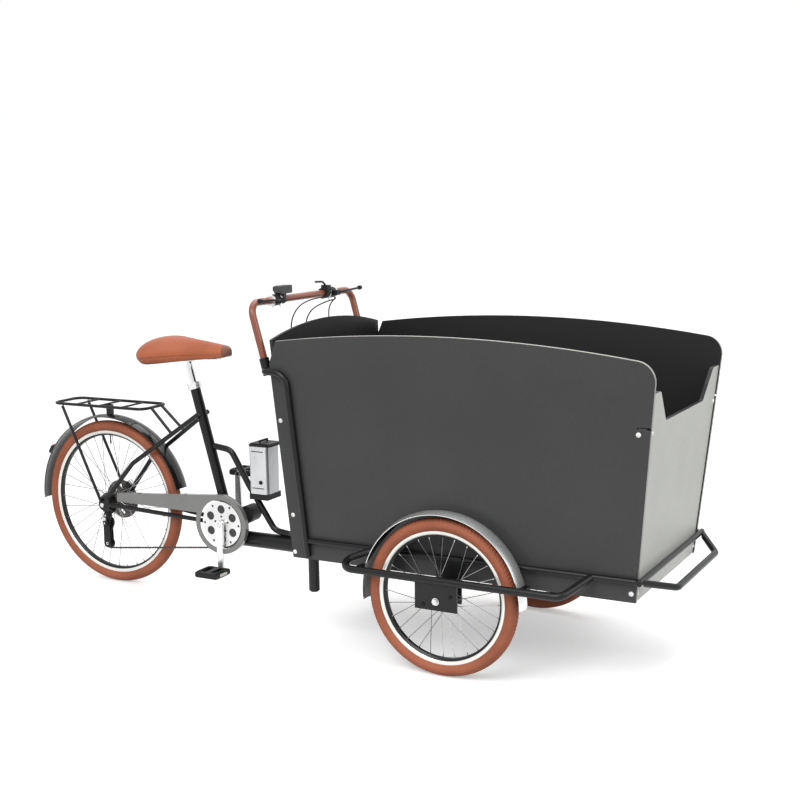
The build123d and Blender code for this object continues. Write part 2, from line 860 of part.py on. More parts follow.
def rear_rack():
    """Carrier over the rear wheel: a rounded loop, its cross rods and the fender's bridge."""
    half = rack_half_width
    length = rack_front_x - rack_rear_x
    middle = Pos((rack_front_x + rack_rear_x) / 2, 0, rack_z)
    loop = middle * RectangleRounded(length, 2 * half, rack_corner).wire()
    frame = sweep(Plane(origin=loop @ 0, z_dir=loop % 0) * Circle(rack_radius), path=loop)
    rods = []
    end = half - rack_radius - seat_gap
    for index in range(rack_rod_count):
        x = rack_rear_x + length * (index + 1) / (rack_rod_count + 1)
        rods.append(rod_y(x, rack_z, rack_rod_radius, -end, end))
    bridge_low = rear_axle_z + rear_tyre_radius + fender_gap + fender_wall + seat_gap
    bridge_x = rack_rear_x + length / 2
    bridge = block(
        bridge_x - bridge_half_length, bridge_x + bridge_half_length,
        -bridge_half_width, bridge_half_width,
        bridge_low, rack_z - rack_rod_radius - seat_gap,
    )
    return [frame, bridge] + rods


def rack_struts():
    """Two struts from the rack's sides down to the dropouts."""
    low_y = rear_hub_half_length + hub_side_gap + dropout_thickness + rack_radius + seat_gap
    top_z = rack_z - rack_radius * (1 + sin(radians(strut_lean))) - seat_gap
    strut = tube([(strut_top_x, -rack_half_width, top_z), (-6, -low_y, rear_axle_z + 14)], rack_radius, 0)
    return both_sides(strut)


def rack_stays():
    """Two thin stays from the front of the rack down to the seat stays."""
    start = (rack_front_x + rack_radius * 1.36 + seat_gap, -rack_half_width * 0.42, rack_z)
    above, below = seat_stay_points()[1:3]
    stay = tube([start, above + (below - above) * rack_stay_share], rack_radius, 0)
    return both_sides(stay - seat_stay(stay_radius + seat_gap))


def rear_lamp():
    """Small dark lamp on the back of the rear fender."""
    angle = radians(lamp_angle)
    reach = rear_tyre_radius + fender_gap + fender_wall + seat_gap
    body = Box(14, 40, 34)
    body = fillet(body.edges().filter_by(Axis.Y), 4)
    place = Pos((reach + 7) * cos(angle), 0, rear_axle_z + (reach + 7) * sin(angle))
    return place * Rot(0, -lamp_angle, 0) * body


def battery():
    """Upright battery case with rounded corners."""
    case = Box(battery_length, battery_width, battery_height)
    case = fillet(case.edges().filter_by(Axis.Z), battery_edge)
    return Pos(battery_x, 0, battery_bottom + battery_height / 2) * case


def battery_holder():
    """Dark foot and handle cap of the battery, on the frame brace."""
    low = battery_bottom - seat_gap
    half_x = battery_length / 2
    half_y = battery_width / 2
    foot = block(battery_x - half_x, battery_x + half_x, -half_y, half_y, low - 22, low)
    high = battery_bottom + battery_height + seat_gap
    cap = block(battery_x - half_x + 6, battery_x + half_x + 12, -half_y + 6, half_y - 6, high, high + 12)
    return [foot - frame_brace(), cap]


def side_plane():
    """Outer face of the right side panel: X forward, Y up along the panel."""
    lean = radians(side_lean)
    return Plane(origin=(0, -box_half_width, ring_z), x_dir=(1, 0, 0), z_dir=(0, -cos(lean), -sin(lean)))


def front_plane():
    """Outer face of the front panel: X to the left, Y up along the panel."""
    lean = radians(front_lean)
    origin = (box_front_x - end_set_back, 0, ring_z)
    return Plane(origin=origin, x_dir=(0, 1, 0), z_dir=(cos(lean), 0, -sin(lean)))


def rear_plane():
    """Outer face of the rear panel: X to the right, Y up along the panel."""
    lean = radians(rear_lean)
    origin = (box_rear_x + end_set_back, 0, ring_z)
    return Plane(origin=origin, x_dir=(0, -1, 0), z_dir=(-cos(lean), 0, -sin(lean)))


def inner_half_width(rise):
    """Half the width between the side panels at a rise above the ring."""
    lean = radians(side_lean)
    return box_half_width + rise * tan(lean) - panel_thickness / cos(lean) - panel_fit


def side_panel():
    """Right side panel with its arched top edge and rounded front corner."""
    front_tan = tan(radians(front_lean))
    rear_tan = tan(radians(rear_lean))
    low = -skirt_drop
    rear_low = (box_rear_x - low * rear_tan, low)
    rear_high = (box_rear_x - side_rear_rise * rear_tan, side_rear_rise)
    corner = (rear_high[0] + side_corner_in, side_corner_rise)
    peak = (corner[0] + side_peak_x, side_peak_rise)
    front_high = (box_front_x + side_front_rise * front_tan, side_front_rise)
    front_low = (box_front_x + low * front_tan, low)
    outline = make_face([
        Line(rear_low, rear_high),
        Line(rear_high, corner),
        ThreePointArc(corner, peak, front_high),
        Line(front_high, front_low),
        Line(front_low, rear_low),
    ])
    rounded = outline.vertices().sort_by_distance(Vector(*front_high))[0]
    outline = fillet(rounded, side_front_radius)
    slot_x = box_front_x + bolt_slot_rise * front_tan - bolt_slot_length / 2
    outline -= Pos(slot_x, bolt_slot_rise) * Rectangle(bolt_slot_length, bolt_slot_height)
    return extrude(side_plane() * outline, amount=-panel_thickness)


def front_panel():
    """Front panel with the wide step cut out of its top edge."""
    low = -skirt_drop
    top = front_panel_rise
    sill = top - cutout_depth
    half = [
        (inner_half_width(low), low),
        (inner_half_width(top), top),
        (cutout_half_top, top),
        (cutout_half_bottom, sill),
    ]
    outline = make_face(Polyline(*half, *[(-y, z) for y, z in reversed(half)], close=True))
    corners = [v for v in outline.vertices() if abs(v.X) < cutout_half_top + 1 and v.Y > 0]
    outline = fillet(corners, cutout_radius)
    return extrude(front_plane() * outline, amount=-panel_thickness)


def rear_panel():
    """Rear panel with its arched top edge."""
    low = -skirt_drop
    top = rear_panel_rise
    wide = inner_half_width(top)
    outline = make_face([
        Polyline((wide, top), (inner_half_width(low), low), (-inner_half_width(low), low), (-wide, top)),
        ThreePointArc((-wide, top), (0, top + rear_panel_arch), (wide, top)),
    ])
    return extrude(rear_plane() * outline, amount=-panel_thickness)


def box_floor():
    """Floor panel on the cross tubes, between the four walls."""
    z = ring_z - ring_radius + seat_gap
    rear = box_rear_x + end_set_back + panel_thickness + panel_fit
    front = box_front_x - end_set_back - panel_thickness - panel_fit - 1
    half = inner_half_width(z - ring_z) - 1
    return block(rear, front, -half, half, z, z + floor_thickness)


def ring_y():
    """Centre of the base ring's side tubes, just outside the side panels."""
    return box_half_width + ring_radius + seat_gap


def base_ring():
    """Round base tube along both sides and across the front of the box."""
    side_x = hoop_x(ring_z) + hoop_radius + 3 * seat_gap
    cross_x = box_front_x + ring_radius + seat_gap
    half = ring_y()
    side = tube([(side_x, -half, ring_z), (cross_x - ring_radius, -half, ring_z)], ring_radius, 0)
    cross = tube([(cross_x, -half - ring_radius, ring_z), (cross_x, half + ring_radius, ring_z)], ring_radius, 0)
    return [side, mirror(side, about=Plane.XZ), cross]


def cross_z():
    """Centre height of the square tubes under the floor."""
    return ring_z - ring_radius - cross_size / 2


def cross_places():
    """Places along X of the three cross tubes."""
    return [
        box_rear_x + cross_rear_in,
        steer_x,
        wheelbase,
        box_front_x - cross_rear_in,
    ]


def cross_half_length():
    """Half the length of the cross tubes, which end inside the side panels."""
    return box_half_width - panel_thickness - cross_end_gap


def cross_frame():
    """Square tubes under the floor: cross tubes, and a spine over the kingpin."""
    half = cross_half_length()
    low = cross_z() - cross_size / 2
    high = cross_z() + cross_size / 2
    frame = None
    for x in cross_places():
        bar = block(x - cross_size / 2, x + cross_size / 2, -half, half, low, high)
        frame = bar if frame is None else frame + bar
    for side in (-1, 1):
        y = side * spine_half_gap
        frame += block(cross_places()[0], cross_places()[3], y - cross_size / 2, y + cross_size / 2, low, high)
    return frame


def kingpin():
    """Vertical pin under the box that turns in the rear frame's steering head."""
    top = cross_z() - cross_size / 2 - seat_gap
    head_top = main_beam_z + head_half_height
    head_low = main_beam_z - head_half_height
    flange_low = top - flange_plate
    pin_low = head_low - washer_height - 1
    pin = Pos(steer_x, 0, (top + pin_low) / 2) * Cylinder(kingpin_radius, top - pin_low)
    plate = block(steer_x - kingpin_flange, steer_x + kingpin_flange,
                  -spine_half_gap - cross_size / 2, spine_half_gap + cross_size / 2, flange_low, top)
    collar = Pos(steer_x, 0, (flange_low + head_top + 1) / 2) * Cylinder(head_radius - 4, flange_low - head_top - 1)
    washer = Pos(steer_x, 0, pin_low + washer_height / 2) * Cylinder(head_radius - 3, washer_height)
    return pin + plate + collar + washer


def side_rail():
    """Right outrigger tube that carries the outer end of the wheel's axle."""
    points = [
        (rail_arm_rear_x, -ring_y(), ring_z),
        (rail_rear_x, -rail_y, rail_z),
        (rail_front_x, -rail_y, rail_z),
        (rail_arm_front_x, -ring_y(), ring_z),
    ]
    whole = tube(points, rail_tube_radius, rail_bend)
    beside_ring = Plane.XZ.offset(ring_y() + ring_radius + seat_gap)
    return split(whole, bisect_by=beside_ring, keep=Keep.TOP)


def axle_plates():
    """Right outer and inner plates with the axle holes."""
    hole = rod_y(wheelbase, front_axle_z, axle_radius + seat_gap, -outer_plate_y - 20, -inner_plate_y + 20)
    half = axle_plate_thickness / 2
    top = rail_z - rail_tube_radius - seat_gap
    low = front_axle_z - axle_plate_drop
    wide = axle_plate_width / 2
    outer = block(wheelbase - wide, wheelbase + wide, -outer_plate_y - half, -outer_plate_y + half, low, top)
    narrow = inner_plate_width / 2
    inner = block(wheelbase - narrow, wheelbase + narrow,
                  -inner_plate_y - half, -inner_plate_y + half, low, ring_z + ring_radius)
    return [outer - hole, inner - hole]


def front_axle():
    """Right front axle through both plates, with a nut at each end."""
    half = axle_plate_thickness / 2
    out = outer_plate_y + half + seat_gap
    inside = inner_plate_y - half - seat_gap
    rod = rod_y(0, 0, axle_radius, -out - nut_length - 2, -inside)
    nut = extrude(Plane.XZ * RegularPolygon(nut_radius, 6), amount=nut_length / 2, both=True)
    rod += Pos(0, -out - nut_length / 2, 0) * nut
    return Pos(wheelbase, 0, front_axle_z) * rod


def front_fender():
    """Bright guard over the right front wheel."""
    arch = fender(
        front_tyre_radius, front_fender_gap, front_fender_width, front_fender_start_angle, front_fender_sweep_angle
    )
    return Pos(wheelbase, -wheel_y, front_axle_z) * arch


def fender_brackets():
    """Right front fender's two brackets, from the side rail to the fender's crown."""
    crown = front_tyre_radius + front_fender_gap + fender_wall
    rise = rail_z - bracket_half - front_axle_z
    near = wheelbase - sqrt(crown ** 2 - rise ** 2) - seat_gap
    rear = block(
        near - bracket_length, near,
        rail_tube_radius + seat_gap - rail_y, bracket_half - wheel_y,
        rail_z - bracket_half, rail_z + bracket_half,
    )
    return [rear, mirror(rear, about=Plane.YZ.offset(wheelbase))]


def hoop_x(z):
    """Place along X of the corner hoop's straight part at a height."""
    share = (z - hoop_foot_z) / (ring_z + hoop_turn_rise - hoop_foot_z)
    return hoop_foot_x + share * (hoop_top_x - hoop_foot_x)


def hoop_y(z):
    """Distance of the corner hoop's straight part from the centre at a height."""
    lean = radians(side_lean)
    return box_half_width + (z - ring_z) * tan(lean) + (hoop_radius + seat_gap) / cos(lean)


def corner_hoop():
    """Right rear corner tube: leg, straight upright, and turn to the bar socket."""
    top_z = ring_z + hoop_turn_rise
    points = [
        (hoop_x(hoop_foot_z), -hoop_y(hoop_foot_z), hoop_foot_z),
        (hoop_x(top_z), -hoop_y(top_z), top_z),
        (bar_foot_x + hoop_turn_in, -hoop_y(top_z), top_z + 4),
        (bar_foot_x, -bar_half_width, top_z + 5),
    ]
    path = tube(points, hoop_radius, [hoop_bend, hoop_end_bend])
    line = Vector(bar_x - bar_foot_x, 0, bar_z - bar_foot_z).normalized()
    foot = Vector(bar_foot_x, -bar_half_width, bar_foot_z) - line * socket_floor
    plane = Plane(origin=foot, z_dir=line)
    socket = extrude(plane * Circle(socket_radius), amount=socket_height)
    bore = extrude(plane.offset(socket_floor) * Circle(bar_radius + seat_gap), amount=socket_height)
    return path + socket - bore


def stand_leg():
    """Right parking leg under the rear cross tube, with a rounded foot."""
    top = cross_z() - cross_size / 2 - seat_gap
    y = leg_radius + leg_inset - cross_half_length()
    middle = Pos(cross_places()[0], y, (leg_foot_z + top) / 2)
    leg = Cylinder(leg_radius, top - leg_foot_z)
    return middle * chamfer(leg.edges().sort_by(Axis.Z)[0], leg_foot_edge)


def handlebar():
    """Wide bar bent from one tube, its legs in the sockets of the corner hoops."""
    line = Vector(bar_x - bar_foot_x, 0, bar_z - bar_foot_z).normalized()
    start = Vector(bar_foot_x, -bar_half_width, bar_foot_z) + line * 2
    points = [
        start,
        (bar_x, -bar_half_width, bar_z),
        (bar_x, bar_half_width, bar_z),
        (start.X, bar_half_width, start.Z),
    ]
    return tube(points, bar_radius, bar_bend)


def brake_lever():
    """Left brake lever: clamp round the bar and a blade in front of it."""
    clamp = rod_y(bar_x, bar_z, lever_clamp_radius, lever_y - lever_clamp_width / 2, lever_y + lever_clamp_width / 2)
    clamp += block(bar_x, bar_x + 38, lever_y - 13, lever_y + 13, bar_z - 9, bar_z + 9)
    clamp -= rod_y(bar_x, bar_z, bar_radius + seat_gap, 0, 2 * lever_y)
    blade = tube(
        [
            (bar_x + 30, lever_y, bar_z),
            (bar_x + 44, lever_y + 40, bar_z + 4),
            (bar_x + 42, lever_y + lever_reach, bar_z + 8),
        ],
        4,
        30,
    )
    knob = rod_y(bar_x + 42, bar_z + 8, lever_knob_radius, lever_y + lever_reach - 4, lever_y + lever_reach + 8)
    return clamp + blade + knob


def display():
    """Small control display on its clamp, near the right hand."""
    y = -lever_y + 46
    ring = rod_y(bar_x, bar_z, lever_clamp_radius - 3, y - 8, y + 8)
    neck = block(bar_x - 6, bar_x + 16, y - 8, y + 8, bar_z, bar_z + 26)
    case = Box(30, 72, 28)
    case = fillet(case.edges().filter_by(Axis.X), 6)
    body = ring + neck + Pos(bar_x + 8, y, bar_z + 34) * case
    return body - rod_y(bar_x, bar_z, bar_radius + seat_gap, y - 60, y + 60)


def shifter():
    """Gear shifter beside the left brake lever, with its small lever."""
    y = lever_y - 44
    body = rod_y(bar_x, bar_z, lever_clamp_radius, y - 12, y + 12)
    body += block(bar_x - 4, bar_x + 24, y - 12, y + 12, bar_z, bar_z + 30)
    blade = tube([(bar_x + 10, y, bar_z + 26), (bar_x + 14, y - 30, bar_z + 44), (bar_x + 10, y - 74, bar_z + 46)], 3.5, 24)
    return body + blade - rod_y(bar_x, bar_z, bar_radius + seat_gap, y - 40, y + 40)


def cord_tube(points, radius):
    """A cable along straight runs with the largest arcs that its runs allow."""
    places = [Vector(*point) for point in points]
    runs = [second - first for first, second in zip(places, places[1:])]
    radii = []
    for before, after in zip(runs, runs[1:]):
        turn = radians(before.get_angle(after))
        radii.append(0.45 * min(before.length, after.length) / tan(turn / 2))
    print("cable length", round(sum(run.length for run in runs)), "radii", [round(value) for value in radii])
    path = FilletPolyline(*places, radius=radii)
    return sweep(Plane(origin=path @ 0, z_dir=path % 0) * RegularPolygon(radius, 6), path=path)


def cable_guide_top():
    """Height of the top of the guide where the cables go into the frame."""
    return ring_z - 28


def control_cables():
    """Three cables from the left hand's controls, down behind the rear panel."""
    low = cable_guide_top()
    face = box_rear_x + end_set_back - 12
    routes = [
        [
            (bar_x + 20, 128, bar_z - 12),
            (bar_x + 30, 20, bar_z - 8),
            (bar_x + 46, -120, bar_z - 28),
            (bar_x + 50, -178, bar_z - 96),
            (bar_x + 66, -142, bar_z - 240),
            (face, -60, ring_z + 90),
            (face + 2, -22, low),
        ],
        [
            (bar_x + 30, 160, bar_z - 24),
            (bar_x + 34, 60, bar_z - 30),
            (bar_x + 46, -50, bar_z - 58),
            (bar_x + 56, -86, bar_z - 130),
            (bar_x + 76, -60, bar_z - 300),
            (face, -14, ring_z + 110),
            (face + 2, 0, low),
        ],
        [
            (bar_x + 24, 190, bar_z - 22),
            (bar_x + 34, 124, bar_z - 34),
            (bar_x + 48, 96, bar_z - 96),
            (bar_x + 70, 80, bar_z - 240),
            (face, 40, ring_z + 130),
            (face + 2, 22, low),
        ],
    ]
    return [cord_tube(route, cable_radius) for route in routes]


def cable_guide():
    """Block on the rear panel's skirt that takes the three cables."""
    rise = cable_guide_top() - 15 - ring_z
    plane = rear_plane().offset(seat_gap)
    return extrude(plane * Pos(0, rise) * Rectangle(70, 29), amount=22)


def bumper():
    """Front bumper: arms from the ring's corners to a lower, shorter cross bar."""
    root_x = box_front_x + ring_radius
    points = [
        (root_x, -ring_y(), ring_z),
        (bumper_front_x, -bumper_half_width, bumper_z),
        (bumper_front_x, bumper_half_width, bumper_z),
        (root_x, ring_y(), ring_z),
    ]
    whole = tube(points, bumper_radius, bumper_bend)
    before_ring = Plane.YZ.offset(box_front_x + 2 * ring_radius + 2 * seat_gap)
    return split(whole, bisect_by=before_ring, keep=Keep.TOP)


def build_nodes():
    """Every piece of the machine by name, drawn from the rear axle."""
    nodes = {}
    rear_place = Pos(0, 0, rear_axle_z)
    nodes["rear_tyre"] = rear_place * tyre(rear_tyre_radius)
    nodes["rear_rim"] = rear_place * rim(rear_tyre_radius)
    rear_hub = laced_hub(
        rear_tyre_radius, rear_hub_half_length, rear_flange_radius, rear_flange_offset, rear_spoke_count
    )
    nodes["rear_hub"] = rear_place * rear_hub
    nodes["cassette"] = cassette()
    nodes["rear_brake_disc"] = brake_disc()
    nodes["rear_axle"] = rear_axle()
    nodes["dropouts"] = dropouts()
    nodes["chain_stays"] = both_sides(chain_stay())
    nodes["seat_stays"] = both_sides(seat_stay(stay_radius))
    nodes["seat_tube"] = seat_tube()
    nodes["crank_cradle"] = crank_cradle()
    nodes["motor"] = motor()
    nodes["main_beam"] = main_beam()
    nodes["frame_brace"] = frame_brace()
    nodes["seat_post"] = seat_post()
    nodes["seat_clamp"] = seat_clamp()
    nodes["saddle_frame"] = saddle_frame()
    nodes["saddle"] = saddle()
    nodes["rear_fender"] = rear_fender()
    nodes["rear_rack"] = rear_rack()
    nodes["rack_struts"] = rack_struts() + rack_stays()
    nodes["rear_lamp"] = rear_lamp()
    nodes["battery"] = battery()
    nodes["battery_holder"] = battery_holder()
    nodes["chain_guard"] = chain_guard()
    nodes["chain"] = chain_band()
    nodes["derailleur"] = derailleur()
    nodes["chainwheel"] = chainwheel()
    nodes["cranks"] = cranks()
    foot = pedal()
    nodes["pedal_right"] = Pos(crank_x, 0, crank_z - crank_length) * foot
    nodes["pedal_left"] = Pos(crank_x, 0, crank_z + crank_length) * mirror(foot, about=Plane.XZ)
    nodes["side_panel_right"] = side_panel()
    nodes["side_panel_left"] = mirror(side_panel(), about=Plane.XZ)
    nodes["front_panel"] = front_panel()
    nodes["rear_panel"] = rear_panel()
    nodes["box_floor"] = box_floor()
    nodes["base_ring"] = base_ring()
    nodes["cross_frame"] = cross_frame()
    nodes["kingpin"] = kingpin()
    nodes["side_rails"] = both_sides(side_rail())
    plates = axle_plates()
    nodes["axle_plates"] = plates + [mirror(plate, about=Plane.XZ) for plate in plates]
    nodes["front_axles"] = both_sides(front_axle())
    nodes["front_fenders"] = both_sides(front_fender())
    brackets = fender_brackets()
    nodes["fender_brackets"] = brackets + [mirror(bracket, about=Plane.XZ) for bracket in brackets]
    nodes["corner_hoops"] = both_sides(corner_hoop())
    nodes["stand_legs"] = both_sides(stand_leg())
    nodes["bumper"] = bumper()
    nodes["handlebar"] = handlebar()
    nodes["brake_levers"] = both_sides(brake_lever())
    nodes["display"] = display()
    nodes["shifter"] = shifter()
    nodes["control_cables"] = control_cables()
    nodes["cable_guide"] = cable_guide()
    front_hub = laced_hub(
        front_tyre_radius, front_hub_half_length, front_flange_radius, front_flange_offset, front_spoke_count
    )
    front_tyre = tyre(front_tyre_radius)
    front_rim = rim(front_tyre_radius)
    for side, y in (("right", -wheel_y), ("left", wheel_y)):
        place = Pos(wheelbase, y, front_axle_z)
        nodes[f"front_tyre_{side}"] = place * front_tyre
        nodes[f"front_rim_{side}"] = place * front_rim
        nodes[f"front_hub_{side}"] = place * front_hub
    return nodes


os.makedirs("parts", exist_ok=True)
for name, shape in build_nodes().items():
    solids = shape if isinstance(shape, list) else [shape]
    placed = [Pos(-middle_x, 0, 0) * solid for solid in solids]
    export_step(placed[0] if len(placed) == 1 else Compound(children=placed), f"parts/{name}.step")
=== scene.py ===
"""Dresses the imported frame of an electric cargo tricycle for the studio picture."""

from __future__ import annotations

import json
import logging
import math
from collections.abc import Sequence
from dataclasses import dataclass
from enum import Enum

import bmesh
import bpy
from mathutils import Matrix, Vector

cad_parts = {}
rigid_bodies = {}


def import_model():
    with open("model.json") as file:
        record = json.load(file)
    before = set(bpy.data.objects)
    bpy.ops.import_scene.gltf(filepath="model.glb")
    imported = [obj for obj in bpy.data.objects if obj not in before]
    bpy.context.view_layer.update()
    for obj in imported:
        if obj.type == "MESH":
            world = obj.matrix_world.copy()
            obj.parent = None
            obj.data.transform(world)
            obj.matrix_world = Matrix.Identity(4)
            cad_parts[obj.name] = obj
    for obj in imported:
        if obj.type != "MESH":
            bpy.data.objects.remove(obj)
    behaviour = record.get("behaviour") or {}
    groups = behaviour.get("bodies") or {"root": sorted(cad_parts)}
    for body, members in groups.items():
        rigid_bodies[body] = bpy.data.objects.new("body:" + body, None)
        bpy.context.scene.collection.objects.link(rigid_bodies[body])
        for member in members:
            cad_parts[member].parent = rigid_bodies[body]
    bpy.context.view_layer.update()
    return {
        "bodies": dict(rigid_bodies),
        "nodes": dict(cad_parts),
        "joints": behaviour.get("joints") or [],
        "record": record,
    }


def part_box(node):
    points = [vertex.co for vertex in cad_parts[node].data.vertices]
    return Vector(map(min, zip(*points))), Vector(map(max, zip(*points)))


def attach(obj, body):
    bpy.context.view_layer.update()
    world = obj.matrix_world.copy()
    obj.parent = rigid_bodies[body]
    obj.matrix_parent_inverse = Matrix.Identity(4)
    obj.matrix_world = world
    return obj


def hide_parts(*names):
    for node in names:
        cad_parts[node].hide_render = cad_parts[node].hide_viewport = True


LOG = logging.getLogger("cargo_tricycle")
MM = 0.001
PROUD = 0.4
MIDDLE_X = 1015.0
FRONT_AXLE_X = 1670.0
FRONT_RADIUS = 262.0
REAR_RADIUS = 333.0
UP = Vector((0.0, 0.0, 1.0))
ACROSS = Vector((0.0, 1.0, 0.0))

Socket = bpy.types.NodeSocket
Material = bpy.types.Material
Object = bpy.types.Object
Colour = tuple[float, float, float]
Point = tuple[float, float, float]
Pair = tuple[float, float]
Profile = Sequence[Pair]


class Body(Enum):
    """The moving bodies that pieces ride on."""

    REAR_FRAME = "rear_frame"
    REAR_WHEEL = "rear_wheel"
    CRANK = "crank"
    RIGHT_PEDAL = "right_pedal"
    LEFT_PEDAL = "left_pedal"
    FRONT_BOX = "front_box"
    FRONT_WHEEL_LEFT = "front_wheel_left"
    FRONT_WHEEL_RIGHT = "front_wheel_right"


def step(x: float, y: float, z: float) -> Vector:
    """A step in millimetres as a vector in metres."""
    return Vector((x, y, z)) * MM


def place(x: float, y: float, z: float) -> Vector:
    """Turns a place in millimetres from the rear axle into metres in the frame.

    Args:
        x: Distance ahead of the rear axle.
        y: Distance to the rider's left.
        z: Height above the floor.

    Returns:
        The same place as a vector in metres.
    """
    return Vector(((x - MIDDLE_X) * MM, y * MM, z * MM))


def arc(degrees: float) -> tuple[float, float]:
    """Cosine and sine of an angle in degrees."""
    angle = math.radians(degrees)
    return math.cos(angle), math.sin(angle)


def add_object(name: str, data: bpy.types.ID) -> Object:
    """Puts a new object with its data into the scene."""
    made = bpy.data.objects.new(name, data)
    bpy.context.scene.collection.objects.link(made)
    return made


# Shader parts


def rgba(colour: Colour) -> tuple[float, float, float, float]:
    """A colour with full alpha."""
    return (*colour, 1.0)


def grey(tone: float) -> tuple[float, float, float, float]:
    """A grey with full alpha."""
    return (tone, tone, tone, 1.0)


class Sheet:
    """A node tree with short calls that add nodes and join them."""

    def __init__(self, tree: bpy.types.NodeTree) -> None:
        """Keeps the tree that the calls write to."""
        self.tree = tree

    def add(self, kind: str, **values: object) -> bpy.types.Node:
        """Adds a node.

        Args:
            kind: The node's type name in Blender.
            values: Properties of the node, or values of its inputs by name or by number, as in i0.

        Returns:
            The new node.
        """
        node = self.tree.nodes.new(kind)
        for key, value in values.items():
            title = key.replace("_", " ").title()
            if title in node.inputs:
                self.feed(node.inputs[title], value)
            elif hasattr(node, key):
                setattr(node, key, value)
            else:
                self.feed(node.inputs[int(key[1:])], value)
        return node

    def feed(self, socket: Socket, value: object) -> None:
        """Links an output to a socket, or sets the socket's own value."""
        if isinstance(value, Socket):
            self.tree.links.new(value, socket)
        else:
            socket.default_value = value

    def place_of(self, output: str = "Object") -> Socket:
        """A place or direction on the surface, by its output's name."""
        return self.add("ShaderNodeTexCoord").outputs[output]

    def noise(self, coordinate: object, scale: object, detail: float = 2.0) -> Socket:
        """Adds a noise texture and returns its factor."""
        return self.add("ShaderNodeTexNoise", vector=coordinate, scale=scale, detail=detail).outputs[0]

    def math(self, operation: str, first: object, second: object = 0.0) -> Socket:
        """Adds a Math node and returns its result."""
        return self.add("ShaderNodeMath", operation=operation, i0=first, i1=second).outputs[0]

    def vector(self, operation: str, first: object, second: object, result: int = 0) -> Socket:
        """Adds a Vector Math node and returns one of its results."""
        return self.add("ShaderNodeVectorMath", operation=operation, i0=first, i1=second).outputs[result]

    def dot(self, first: object, second: object) -> Socket:
        """Adds a dot product and returns its number."""
        return self.vector("DOT_PRODUCT", first, second, 1)

    def length(self, value: object) -> Socket:
        """Adds a length and returns its number."""
        return self.vector("LENGTH", value, (0.0, 0.0, 0.0), 1)

    def mix(self, mask: object, low: object, high: object) -> Socket:
        """Mixes two colours by a mask and returns the colour."""
        return self.add("ShaderNodeMix", data_type="RGBA", i0=mask, i6=low, i7=high).outputs[2]

    def ramp(self, value: object, low: float, high: float) -> Socket:
        """Maps low..high to 0..1, smoothly and clamped."""
        node = self.add("ShaderNodeMapRange", interpolation_type="SMOOTHSTEP", i0=value, i1=low, i2=high)
        return node.outputs[0]

    def group(self, tree: bpy.types.NodeTree, **values: object) -> Socket:
        """Places a shared group, feeds its inputs by name and returns its output."""
        node = self.tree.nodes.new("ShaderNodeGroup")
        node.node_tree = tree
        for key, value in values.items():
            self.feed(node.inputs[key.title()], value)
        return node.outputs[0]


class MaterialSheet(Sheet):
    """The node tree of a new material, with its shader, its coordinate and the shared groups."""

    def __init__(self, name: str, effects: SharedEffects | None = None) -> None:
        """Makes the material."""
        self.material = bpy.data.materials.new(name)
        self.material.use_nodes = True
        super().__init__(self.material.node_tree)
        self.shader = self.tree.nodes["Principled BSDF"]
        self.effects = effects
        self.coordinate = self.place_of()

    def shade(self, title: str, value: object) -> None:
        """Links or sets one of the shader's inputs."""
        self.feed(self.shader.inputs[title], value)


